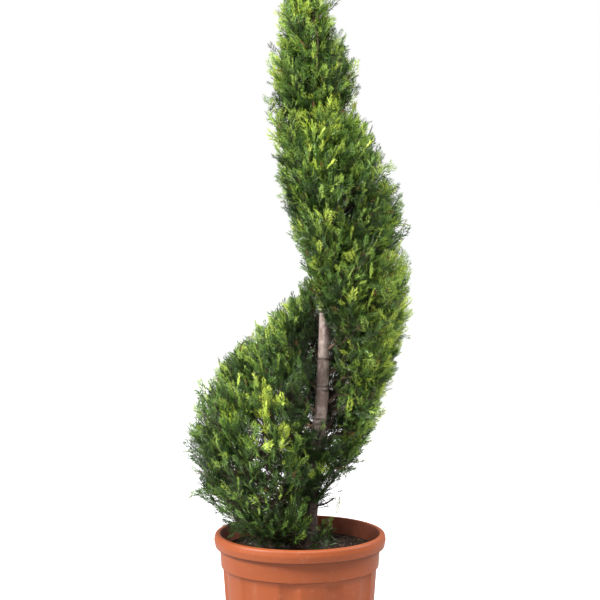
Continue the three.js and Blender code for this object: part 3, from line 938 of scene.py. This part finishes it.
def open_places(rng, mass, masses):
    """Places on a mass where shoots reach the light, with normals, and the area they stand for."""
    others = [other.tree for other in masses if other is not mass]
    places, normals, area = mass.samples(rng, CANDIDATES)
    facing = np.einsum("ij,ij->i", normals, outward_from_stem(places))
    chance = np.where(facing < -0.2, 0.25, 1.0) * np.where(normals[:, 2] < -0.5, 0.75, 1.0)
    kept = rng.random(CANDIDATES) < chance
    for index in np.flatnonzero(kept):
        start, way = Vector(places[index] + normals[index] * 5e-4), Vector(normals[index])
        if any(tree.ray_cast(start, way, SEAM_REACH)[0] is not None for tree in others):
            kept[index] = False
    return places[kept], normals[kept], area * kept.mean()


def spaced(rng, places, count, area):
    """Picks a number of places that keep their distance from one another."""
    order = rng.permutation(len(places))
    gap = 0.78 * math.sqrt(area / count)
    while True:
        chosen = np.empty((0, 3))
        picks = []
        for index in order:
            if len(picks) and (((chosen - places[index]) ** 2).sum(axis=1) < gap * gap).any():
                continue
            picks.append(index)
            chosen = places[picks]
            if len(picks) == count:
                return np.array(picks)
        gap *= 0.85


# share of the usual number of shoots, where a mass is thinner or fuller than the others
FULLNESS = {
    "foliage_left_low": 0.84,
    "foliage_front_low": 0.74,
    "foliage_right_low": 0.96,
    "foliage_back_low": 0.66,
    "foliage_right_sprig": 0.32,
    "foliage_foot_tuft": 1.40,
}

# how much brighter, or duller below 0, the sprays of a mass are than their place alone would tell; the large
# lift of the right low mass is painted light
TINT_AND_LIGHT_BY_MASS = {
    "foliage_right_low": 0.58,
    "foliage_foot_tuft": 0.24,
    "foliage_left_upper": 0.15,
    "foliage_left_low": -0.10,
    "foliage_front_low": -0.06,
}

# and masses whose sprays are smaller than the others
SPRAY_SIZES = {"foliage_foot_tuft": 0.62, "foliage_right_sprig": 0.80}

# thin places that let the light through: x, z, half width, half height, share of sprays kept
THIN_PLACES = (
    (0.072, 0.500, 0.032, 0.080, 0.72),
    (0.074, 0.332, 0.036, 0.030, 0.12),
    (-0.155, 0.460, 0.013, 0.020, 0.30),
    (-0.120, 0.385, 0.014, 0.018, 0.30),
    (-0.052, 0.350, 0.020, 0.016, 0.30),
    (0.077, 0.837, 0.013, 0.014, 0.35),
    (0.137, 0.888, 0.013, 0.022, 0.35),
)
# bright young shoots on the front: x, z, half width, half height
BRIGHT_SHOOTS = (
    (-0.060, 0.475, 0.008, 0.055),
    (-0.027, 0.435, 0.008, 0.034),
    (0.029, 0.377, 0.012, 0.018),
    (-0.045, 0.500, 0.022, 0.007),
)

# heights between which the stem stands bare on its open side
BARE_STEM = (0.452, 0.628)
# a height, and the share of sprays kept below it
THIN_FOOT = (0.400, 0.62)


def stands_clear(points, luck):
    """Whether points leave the stem's open side, the thin places, the soil and the pot free."""
    clear = np.ones(len(points), bool)
    x, y, z = points.T
    for thin_x, thin_z, width, height, share in THIN_PLACES:
        inside = ((x - thin_x) / width) ** 2 + ((z - thin_z) / height) ** 2 < 1
        clear &= ~(inside & (luck > share))
    centre, radius = trunk_at(z)
    before = (y < centre[:, 1]) & (np.abs(x - centre[:, 0]) < radius + 3 * MM)
    level = z - 0.15 * (centre[:, 1] - y)
    clear &= ~(before & (level > BARE_STEM[0]) & (level < BARE_STEM[1]))
    clear &= np.hypot(x - centre[:, 0], y - centre[:, 1]) > radius + 1 * MM
    across = np.hypot(x, y)
    clear &= ~((z < POT_HEIGHT + 6 * MM) & (across > POT_RADIUS - 22 * MM))
    clear &= z > soil_level(np.minimum(across, POT_RADIUS)) + 3 * MM
    clear &= (z > THIN_FOOT[0]) | (luck < THIN_FOOT[1])
    return clear


def shoots_of(rng, mass, places, normals, inner, settings):
    """Shoots of one mass: curved axes that end a little below its clipped surface."""
    count = len(places)
    thick = np.array([mass.thickness(place, -normal) for place, normal in zip(places, normals)])
    depth = np.where(inner, rng.uniform(26 * MM, 70 * MM, count), rng.normal(13 * MM, 4 * MM, count))
    depth = np.minimum(depth, thick * 0.5)
    tip = places - normals * depth[:, None]
    radial = outward_from_stem(places)
    way = unit(0.66 * normals + 0.62 * UP + 0.30 * radial + rng.normal(0, 0.24, (count, 3)))
    length = np.clip(settings.shoot_length * rng.lognormal(0, 0.2, count), 0.03, 1.2 * thick + 0.02)
    start = tip - way * length[:, None] - radial * 0.12 * length[:, None]
    start[:, 2] = np.maximum(start[:, 2], GROUND + 6 * MM)
    control = tip - unit(way + 0.35 * UP) * (0.5 * length)[:, None]
    flat = rng.normal(0, 1, (count, 3)) + 0.3 * normals
    face = unit(flat - way * np.einsum("ij,ij->i", flat, way)[:, None])
    return {"start": start, "control": control, "tip": tip, "face": face, "inner": inner}


def sprays_of(rng, shoots, normals, settings):
    """Sprays of the shoots: set alternately along each axis, with one at its end."""
    many = settings.sprays_per_shoot
    count = len(shoots["tip"])
    order = np.arange(many)
    share = 0.16 + 0.80 * (order[None] + rng.uniform(0.1, 0.9, (count, many))) / many
    share[:, -1] = 0.94
    s = share[..., None]
    start, control, tip = (shoots[key][:, None] for key in ("start", "control", "tip"))
    base = start * (1 - s) ** 2 + control * 2 * s * (1 - s) + tip * s**2
    along = unit((control - start) * (1 - s) + (tip - control) * s)
    face = np.repeat(shoots["face"][:, None], many, axis=1)
    side = np.cross(along, face) * np.where(order % 2, 1.0, -1.0)[None, :, None]
    angle = np.radians(rng.uniform(20, 46, (count, many)))
    angle[:, -1] = rng.uniform(0, 0.2, count)
    way = along * np.cos(angle)[..., None] + side * np.sin(angle)[..., None]
    way = unit(way + face * rng.normal(0, 0.24, (count, many, 1)) + 0.20 * UP)
    length = settings.spray_length * (1.08 - 0.42 * share) * rng.lognormal(0, 0.2, (count, many))
    length[:, -1] = settings.spray_length * rng.uniform(0.7, 1.15, count)
    owner = np.repeat(np.arange(count), many)
    turned = unit(face + rng.normal(0, 0.35, (count, many, 3)))
    return {
        "base": base.reshape(-1, 3),
        "way": way.reshape(-1, 3),
        "face": turned.reshape(-1, 3),
        "length": length.ravel(),
        "owner": owner,
        "share": share.ravel(),
        "normal": normals[owner],
        "inner": shoots["inner"][owner],
        "curl": rng.normal(0.07, 0.09, len(owner)),
    }


def spray_tips(sprays):
    """Where the sprays end, with the upward bend that each one carries."""
    way = sprays["way"]
    lift = UP - way * way[:, 2:3]
    return sprays["base"] + (way + lift * sprays["curl"][:, None]) * sprays["length"][:, None]


def crown_height(mass, masses, points):
    """Distance of points from the whole crown's surface, starting with the mass they grow from."""
    height = mass.height_above(points)
    outside = np.flatnonzero(height > 0)
    for other in masses:
        if other is not mass and len(outside):
            height[outside] = np.minimum(height[outside], other.height_above(points[outside]))
    return height


def clipped(rng, mass, masses, sprays, settings):
    """Shortens sprays that pass the clipped outline and drops those that stand in a clear place."""
    height = crown_height(mass, masses, spray_tips(sprays))
    limit = np.clip(rng.normal(-1 * MM, 7 * MM, len(height)), -11 * MM, 15 * MM)
    limit += rng.uniform(4 * MM, 17 * MM, len(height)) * (rng.random(len(height)) < 0.13)
    rise = np.maximum(np.einsum("ij,ij->i", sprays["way"], sprays["normal"]), 0.35)
    over = np.maximum(height - limit, 0) / rise
    sprays["length"] = sprays["length"] - over
    tips = spray_tips(sprays)
    middles = (sprays["base"] + tips) / 2
    luck = rng.random(len(tips))
    kept = sprays["length"] > 0.40 * settings.spray_length
    if mass.name not in SPRAY_SIZES:
        kept &= crown_height(mass, masses, sprays["base"]) < 3 * MM
    kept &= stands_clear(tips, luck) & stands_clear(middles, luck)
    return {key: value[kept] for key, value in sprays.items()}


def stem_shoots(rng, count, settings):
    """Short shaded shoots straight from the lower stem, on its open front side."""
    root, radius = trunk_at(rng.uniform(GROUND + 0.07, BARE_STEM[0] - 0.03, count))
    angle = rng.uniform(-1.5, 1.1, count)
    out = np.stack([np.sin(angle), -np.cos(angle), np.zeros(count)], axis=-1)
    start = root + out * (radius + 3 * MM)[:, None]
    way = unit(out + UP * rng.uniform(0.2, 1.2, (count, 1)) + rng.normal(0, 0.3, (count, 3)))
    length = 0.4 * settings.shoot_length * rng.lognormal(0, 0.25, count)
    tip = start + way * length[:, None]
    control = (start + tip) / 2 - UP * 3 * MM
    flat = rng.normal(0, 1, (count, 3))
    face = unit(flat - way * np.einsum("ij,ij->i", flat, way)[:, None])
    shoots = {"start": start, "control": control, "tip": tip, "face": face}
    shoots["inner"] = rng.random(count) < 0.7
    shoots["hub"], shoots["twig_of"] = root, np.arange(count)
    shoots["crown"] = shoots["bough_of"] = []
    return shoots, out


def clusters(rng, points, count, rounds=6):
    """Groups points round a number of centres: the index of each point's centre, and the centres."""
    centres = points[rng.choice(len(points), count, replace=False)]
    for _ in range(rounds):
        gap = ((points[:, None] - centres[None]) ** 2).sum(axis=2)
        nearest = gap.argmin(axis=1)
        for index in range(count):
            members = points[nearest == index]
            if len(members):
                centres[index] = members.mean(axis=0)
    return nearest, centres


SHOOT_KEYS = ("start", "control", "tip", "face", "inner", "twig_of")
SHOOTS_PER_TWIG = 3.5
TWIGS_PER_BOUGH = 6


def add_hubs(rng, shoots):
    """Gathers shoots to the ends of twigs, and twigs to the ends of boughs."""
    count = len(shoots["start"])
    twig_count = max(1, round(count / SHOOTS_PER_TWIG))
    shoots["twig_of"], hub = clusters(rng, shoots["start"], twig_count)
    centre, _ = trunk_at(hub[:, 2])
    hub = hub + (centre - hub) * 0.14 + np.array([0, 0, -8 * MM])
    hub[:, 2] = np.maximum(hub[:, 2], GROUND + 5 * MM)
    shoots["hub"] = hub
    shoots["bough_of"], shoots["crown"] = clusters(rng, hub, max(1, round(twig_count / TWIGS_PER_BOUGH)))


TINTS = ("shade", "deep", "leaf", "fresh", "lime", "dull", "rust")


def spray_tints(settings):
    """Plain colours in pairs, for the inner and the outer part of a spray; each inner colour is darker than
    its outer one, partly as older growth and partly as painted shade.
    """
    deep, leaf, fresh = tuple(settings.deep), tuple(settings.leaf), tuple(settings.fresh)
    lime, dull, rust = tuple(settings.lime), tuple(settings.dull), tuple(settings.rust)
    # inner colours: partly older growth, partly painted shade; the shade pair is painted shade throughout
    pairs = {
        "shade": (darker(deep, 0.22), darker(deep, 0.46)),
        "deep": (darker(deep, 0.36), darker(deep, 0.95)),
        "leaf": (darker(deep, 0.5), leaf),
        "fresh": (darker(deep, 0.75), fresh),
        "lime": (blended(deep, leaf, 0.6), lime),
        "dull": (darker(dull, 0.6), dull),
        "rust": (deep, rust),
    }
    materials = []
    for name in TINTS:
        inside, outside = pairs[name]
        materials.append(leaf_finish(f"spray_{name}_inside", inside))
        materials.append(leaf_finish(f"spray_{name}_outside", outside))
    return materials


def tints_of(rng, sprays, shoot_count, mass_tint_and_light=0.0):
    """Which tint each spray takes: darker and duller low down, yellower high and outside, with upward-facing
    sprays yellower, partly as young growth and partly as painted light, and painted shade on inner shoots,
    on downward-facing sprays and in the hollow by the stem.
    """
    low, high = GROUND, CAD_BOX[1][2]
    tips = spray_tips(sprays)
    up = np.clip((tips[:, 2] - low) / (high - low), 0, 1)
    score = rng.normal(0, 0.26, shoot_count)[sprays["owner"]] + rng.normal(0, 0.46, len(up))
    # the mass's own shift, painted light for the right low mass, then a rise with height and along the shoot
    score += 0.12 + mass_tint_and_light + 0.46 * up**1.3 + 0.5 * (sprays["share"] - 0.5)
    # partly young upright growth and partly painted light: sprays on upward-facing surfaces turn yellower;
    # painted shade: those on downward-facing surfaces turn darker
    facing = sprays["normal"][:, 2]
    score += np.where(facing > 0, 0.26, 0.62) * facing
    centre, _ = trunk_at(tips[:, 2])
    reach = np.linalg.norm((tips - centre)[:, :2], axis=1)
    # painted shade: sprays close to the lower stem darken, as in the shadowed hollow by the trunk
    stem_hollow_shade = np.exp(-((reach / (58 * MM)) ** 2)) * (tips[:, 2] < BARE_STEM[1] + 40 * MM)
    middles = (sprays["base"] + tips) / 2
    for x, z, width, height in BRIGHT_SHOOTS:
        inside = ((middles[:, 0] - x) / width) ** 2 + ((middles[:, 2] - z) / height) ** 2 < 1
        score += 1.9 * (inside & (middles[:, 1] < centre[:, 1] - 12 * MM))
    # painted shade inside the crown: inner shoots take darker tints, and sprays in the stem's hollow darker
    # still
    tint = np.digitize(score - 1.0 * sprays["inner"] - 1.1 * stem_hollow_shade, [-0.50, 0.12, 0.62, 1.18])
    other = rng.random(len(up))
    tint[(other < 0.04) & (tint < 4)] = TINTS.index("dull")
    tint[(other > 0.96) & ~sprays["inner"]] = TINTS.index("rust")
    return tint


def spray_mesh(rng, shapes, sprays, tints):
    """All sprays of one mass as arrays of points, triangles and material indices."""
    way = sprays["way"]
    count = len(way)
    face = sprays["face"]
    face = unit(face - way * np.einsum("ij,ij->i", face, way)[:, None])
    side = np.cross(way, face)
    lift = UP - way * way[:, 2:3]
    length = np.where(tints == TINTS.index("rust"), 0.5, 1.0) * sprays["length"]
    base = sprays["base"] + way * (sprays["length"] - length)[:, None]
    kind = rng.integers(0, len(shapes), count)
    mirror = rng.choice([-1.0, 1.0], count)
    all_points, all_faces, all_slots, start = [], [], [], 0
    for index, (points, faces, outer) in enumerate(shapes):
        chosen = np.flatnonzero(kind == index)
        if not len(chosen):
            continue
        scale = length[chosen][:, None, None]
        x = points[None, :, 0, None] * side[chosen][:, None] * mirror[chosen][:, None, None]
        y = points[None, :, 1, None] * way[chosen][:, None]
        z = points[None, :, 2, None] * face[chosen][:, None]
        bent = (points[:, 1] ** 2)[None, :, None] * (lift * sprays["curl"][:, None])[chosen][:, None]
        placed = base[chosen][:, None] + scale * (x + y + z + bent)
        numbers = faces[None] + (start + np.arange(len(chosen)) * len(points))[:, None, None]
        all_points.append(placed.reshape(-1, 3))
        all_faces.append(numbers.reshape(-1, 3))
        all_slots.append((tints[chosen][:, None] * 2 + outer[None].astype(int)).ravel())
        start += placed.shape[0] * placed.shape[1]
    return np.concatenate(all_points), np.concatenate(all_faces), np.concatenate(all_slots)


def bough_start(crown, boughs):
    """Where a bough starts: at the end of a CAD bough nearby, or on the trunk below it."""
    for root, end, radius in boughs:
        reach = crown - end
        gap = np.linalg.norm(reach)
        if gap < 0.10 and float(unit(reach) @ unit(end - root)) > 0.55:
            return end, unit(end - root), radius
    centre, _ = trunk_at(crown[2])
    away = np.linalg.norm((crown - centre)[:2])
    height = max(GROUND + 0.02, crown[2] - 0.75 * away)
    height = min(height, TRUNK[-1, 0] - 0.05)
    root, radius = trunk_at(height)
    return root, unit(crown - root + np.array([0, 0, -0.2 * away])), min(radius * 0.42, 4.0 * MM)


def limbs_of(rng, growths, cad_boughs):
    """Paths and radii of the boughs, the twigs and the shoots' axes."""
    boughs, twigs = [], []
    for shoots in growths:
        starts = []
        for crown in shoots["crown"]:
            root, way, radius = bough_start(crown, cad_boughs)
            control = (root + crown) / 2 + way * np.linalg.norm(crown - root) * 0.10
            starts.append((root, control, crown, radius))
        boughs.extend(starts)
        for hub, owner in zip(shoots["hub"], shoots["bough_of"]):
            root, control, crown, radius = starts[owner]
            share = rng.uniform(0.35, 0.95)
            start = root * (1 - share) ** 2 + control * 2 * share * (1 - share) + crown * share**2
            middle = (start + hub) / 2 + np.array([0, 0, -0.06 * np.linalg.norm(hub - start)])
            twigs.append((start, middle, hub, max(0.9 * MM, radius * (1 - 0.7 * share) * 0.6)))
    return boughs, twigs


def crosses_stem(paths):
    """Whether any point of each path hangs in front of the stretch of bare stem."""
    points = paths.reshape(-1, 3)
    centre, radius = trunk_at(points[:, 2])
    before = (points[:, 1] < centre[:, 1] - radius) & (np.abs(points[:, 0] - centre[:, 0]) < radius + 1 * MM)
    level = (points[:, 2] > BARE_STEM[0] - 0.1) & (points[:, 2] < BARE_STEM[1] + 30 * MM)
    return (before & level).reshape(paths.shape[:2]).any(axis=1)


def strays(paths, masses, near_stem):
    """Whether each path swings out of the masses further from the stem than it may."""
    points = paths.reshape(-1, 3)
    outside = crown_height(masses[0], masses, points) > 5 * MM
    centre, _ = trunk_at(points[:, 2])
    reach = np.linalg.norm((points - centre)[:, :2], axis=1)
    free = np.where(points[:, 2] > BARE_STEM[1] - 20 * MM, 0.0, near_stem)
    return (outside & (reach > free)).reshape(paths.shape[:2]).any(axis=1)


def tube_piece(name, start, middle, end, radius, taper, sides, material, masses):
    """Many curved tapering stems as one piece."""
    paths = bend(start, middle, end, len(taper))
    kept = ~(crosses_stem(paths) | strays(paths, masses, 44 * MM))
    mesh = tubes(paths[kept], radius[kept, None] * taper[None], sides)
    return settle(mesh_object(name, *mesh, [material], smooth=True), "bark")


class TOPIARY_OT_foliage(bpy.types.Operator):
    """Grow boughs, twigs and leaf sprays into every mass of foliage"""

    bl_idname = "topiary.foliage"
    bl_label = "Foliage"

    stem_count: bpy.props.IntProperty(name="Stem shoots", description="Short shoots on the stem", default=80)

    def execute(self, context):
        settings = context.scene.topiary_foliage
        rng = np.random.default_rng(settings.seed)
        width = settings.blade_width / settings.spray_length
        shapes = [spray_shape(rng, width) for _ in range(16)]
        masses = [Mass(name) for name in FOLIAGE_NODES]
        grounds = [open_places(rng, mass, masses) for mass in masses]
        weights = np.array([area * FULLNESS.get(m.name, 1.0) for m, (_, _, area) in zip(masses, grounds)])
        materials = spray_tints(settings)
        growths = []
        for mass, (places, normals, area), weight in zip(masses, grounds, weights / weights.sum()):
            outer_count = max(4, round(settings.shoots * weight))
            picks = spaced(rng, places, min(outer_count, len(places)), area)
            inner_count = round(len(picks) * settings.inner_share)
            picks = np.concatenate([picks, rng.choice(len(places), inner_count)])
            inner = np.arange(len(picks)) >= len(picks) - inner_count
            shoots = shoots_of(rng, mass, places[picks], normals[picks], inner, settings)
            add_hubs(rng, shoots)
            sprays = sprays_of(rng, shoots, normals[picks], settings)
            sprays["length"] *= SPRAY_SIZES.get(mass.name, 1.0)
            sprays = clipped(rng, mass, masses, sprays, settings)
            tints = tints_of(rng, sprays, len(picks), TINT_AND_LIGHT_BY_MASS.get(mass.name, 0.0))
            leafy = np.bincount(sprays["owner"], minlength=len(picks)) > 3
            shoots = {key: shoots[key][leafy] if key in SHOOT_KEYS else shoots[key] for key in shoots}
            mesh = spray_mesh(rng, shapes, sprays, tints)
            name = mass.name.replace("foliage_", "sprays_")
            settle(mesh_object(name, mesh[0], mesh[1], materials, mesh[2]), "foliage", mass.name)
            growths.append(shoots)
        shoots, normals = stem_shoots(rng, self.stem_count, settings)
        sprays = sprays_of(rng, shoots, normals, settings)
        sprays["length"] *= 0.75
        sprays = {key: value[::2] for key, value in sprays.items()}
        mesh = spray_mesh(rng, shapes, sprays, tints_of(rng, sprays, self.stem_count))
        settle(mesh_object("sprays_stem", mesh[0], mesh[1], materials, mesh[2]), "foliage")
        growths.append(shoots)
        self.grow_wood(context.scene.topiary_limbs, rng, growths, masses)
        return {"FINISHED"}

    def grow_wood(self, limb, rng, growths, masses):
        lines = [bough_line(name) for name in BOUGH_NODES]
        bark = bark_finish("bough_bark", tuple(limb.twig), darker(tuple(limb.bark), 0.8), limb)
        parts = []
        for root, middle, end, radius in lines:
            centre, _ = trunk_at(root[2])
            start = root + (centre - root) * 0.5
            path = bend(start[None], (2 * middle - (start + end) / 2)[None], end[None], 22)[0]
            radii = radius * np.linspace(1.1, 0.6, 22) * (1 + 0.35 * np.exp(-np.linspace(0, 6, 22)))
            parts.append(limb_skin(path, radii, 20, limb.relief * 0.7))
        points, faces = joined(parts)
        settle(mesh_object("main_boughs", points, faces, [bark], smooth=True), "bark", *BOUGH_NODES)
        boughs, twigs = limbs_of(rng, growths, [(root, end, radius) for root, _, end, radius in lines])
        twig_bark = twig_finish(tuple(limb.twig))
        columns = [np.array(column) for column in zip(*boughs)]
        tube_piece("boughs", *columns, np.linspace(1.0, 0.4, 9), 7, twig_bark, masses)
        columns = [np.array(column) for column in zip(*twigs)]
        tube_piece("twigs", *columns, np.linspace(1.0, 0.55, 6), 5, twig_bark, masses)
        start = np.concatenate([shoots["hub"][shoots["twig_of"]] for shoots in growths])
        end = np.concatenate([shoots["control"] for shoots in growths])
        middle = np.concatenate([shoots["start"] for shoots in growths]) * 0.5 + (start + end) * 0.25
        radius = np.full(len(start), 0.95 * MM)
        tube_piece("shoot_feet", start, middle, end, radius, np.linspace(1.0, 0.8, 5), 3, twig_bark, masses)
        tip = np.concatenate([shoots["tip"] for shoots in growths])
        middle = (end + tip) / 2 + unit(end - middle) * 2 * MM
        tube_piece("shoot_axes", end, middle, tip, radius, np.linspace(0.8, 0.4, 4), 3, twig_bark, masses)


# ------------------------------------------------------------------ stage


def area_light(name, place, aim, size, power, colour=(1.0, 1.0, 1.0)):
    lamp = bpy.data.lights.new(name, "AREA")
    lamp.shape = "DISK"
    lamp.size = size
    lamp.energy = power
    lamp.color = colour
    holder = bpy.data.objects.new(name, lamp)
    holder.location = place
    holder.rotation_euler = (Vector(aim) - Vector(place)).to_track_quat("-Z", "Y").to_euler()
    bpy.context.scene.collection.objects.link(holder)


def backdrop(tree, light):
    """A white backdrop to the eye that lights the scene more gently than it looks."""
    shown = tree.nodes["Background"]
    shown.inputs["Color"].default_value = (1.0, 1.0, 1.0, 1.0)
    path = tree.nodes.new("ShaderNodeLightPath")
    strength = tree.nodes.new("ShaderNodeMapRange")
    strength.inputs["To Min"].default_value = light
    strength.inputs["To Max"].default_value = 1.0
    tree.links.new(path.outputs["Is Camera Ray"], strength.inputs["Value"])
    tree.links.new(strength.outputs["Result"], shown.inputs["Strength"])


def floor_finish(colour):
    """Matt white floor, shown a little brighter to the eye than the light it throws back."""
    finish = Finish("floor", colour, 0.9, 0.1)
    path = finish.tree.nodes.new("ShaderNodeLightPath")
    lift = finish.scaled(path.outputs["Is Camera Ray"], 0.85)
    finish.shader.inputs["Emission Color"].default_value = (1.0, 1.0, 1.0, 1.0)
    finish.tree.links.new(lift, finish.shader.inputs["Emission Strength"])
    return finish.material


class TOPIARY_OT_stage(bpy.types.Operator):
    """Set out the floor, the soft studio light and the camera"""

    bl_idname = "topiary.stage"
    bl_label = "Stage"

    def execute(self, context):
        scene = context.scene
        settings = scene.topiary_stage
        scene.view_settings.view_transform = "Standard"
        world = bpy.data.worlds.new("studio")
        world.use_nodes = True
        backdrop(world.node_tree, settings.sky_light)
        scene.world = world
        size = 30.0
        corners = [(-size, -size, 0), (size, -size, 0), (size, size, 0), (-size, size, 0)]
        floor = mesh_object("floor", corners, [[0, 1, 2, 3]], [floor_finish(tuple(settings.floor))])
        area_light("key", (-2.7, -1.3, 2.5), (0, 0, 0.6), 1.2, settings.key_power)
        area_light("front", (0.5, -1.7, 3.8), (0, 0, 0.6), 1.2, settings.front_power)
        area_light("edge", (2.7, 0.4, 2.4), (0, 0, 0.6), 1.6, settings.edge_power)
        lens = bpy.data.cameras.new("camera")
        lens.lens = settings.camera_lens
        lens.sensor_width = 36.0
        camera = bpy.data.objects.new("camera", lens)
        camera.location = (0.0, -settings.camera_distance, settings.camera_height)
        camera.rotation_euler = (math.pi / 2 - settings.camera_tilt, 0.0, 0.0)
        scene.collection.objects.link(camera)
        scene.camera = camera
        return {"FINISHED"}


# ------------------------------------------------------------------ add-on


class TOPIARY_PT_panel(bpy.types.Panel):
    """The topiary's pieces, in the order they are made"""

    bl_idname = "TOPIARY_PT_panel"
    bl_label = "Spiral Topiary"
    bl_space_type = "VIEW_3D"
    bl_region_type = "UI"
    bl_category = "Topiary"

    def draw(self, context):
        for operator in OPERATORS:
            self.layout.operator(operator.bl_idname)
        for name in SETTINGS:
            settings = getattr(context.scene, name)
            box = self.layout.box()
            for field in settings.__annotations__:
                box.prop(settings, field)


OPERATORS = (
    TOPIARY_OT_stage,
    TOPIARY_OT_container,
    TOPIARY_OT_soil,
    TOPIARY_OT_trunk,
    TOPIARY_OT_foliage,
)
SETTINGS = {
    "topiary_container": TopiaryContainerSettings,
    "topiary_limbs": TopiaryLimbSettings,
    "topiary_foliage": TopiaryFoliageSettings,
    "topiary_stage": TopiaryStageSettings,
}


def register():
    for kind in (*SETTINGS.values(), *OPERATORS, TOPIARY_PT_panel):
        bpy.utils.register_class(kind)
    for name, kind in SETTINGS.items():
        setattr(bpy.types.Scene, name, bpy.props.PointerProperty(type=kind))


def unregister():
    for name in SETTINGS:
        delattr(bpy.types.Scene, name)
    for kind in (TOPIARY_PT_panel, *reversed(OPERATORS), *reversed(SETTINGS.values())):
        bpy.utils.unregister_class(kind)


def main():
    register()
    bpy.ops.topiary.stage()
    bpy.ops.topiary.container()
    bpy.ops.topiary.soil()
    bpy.ops.topiary.trunk()
    bpy.ops.topiary.foliage()


if __name__ == "__main__":
    main()
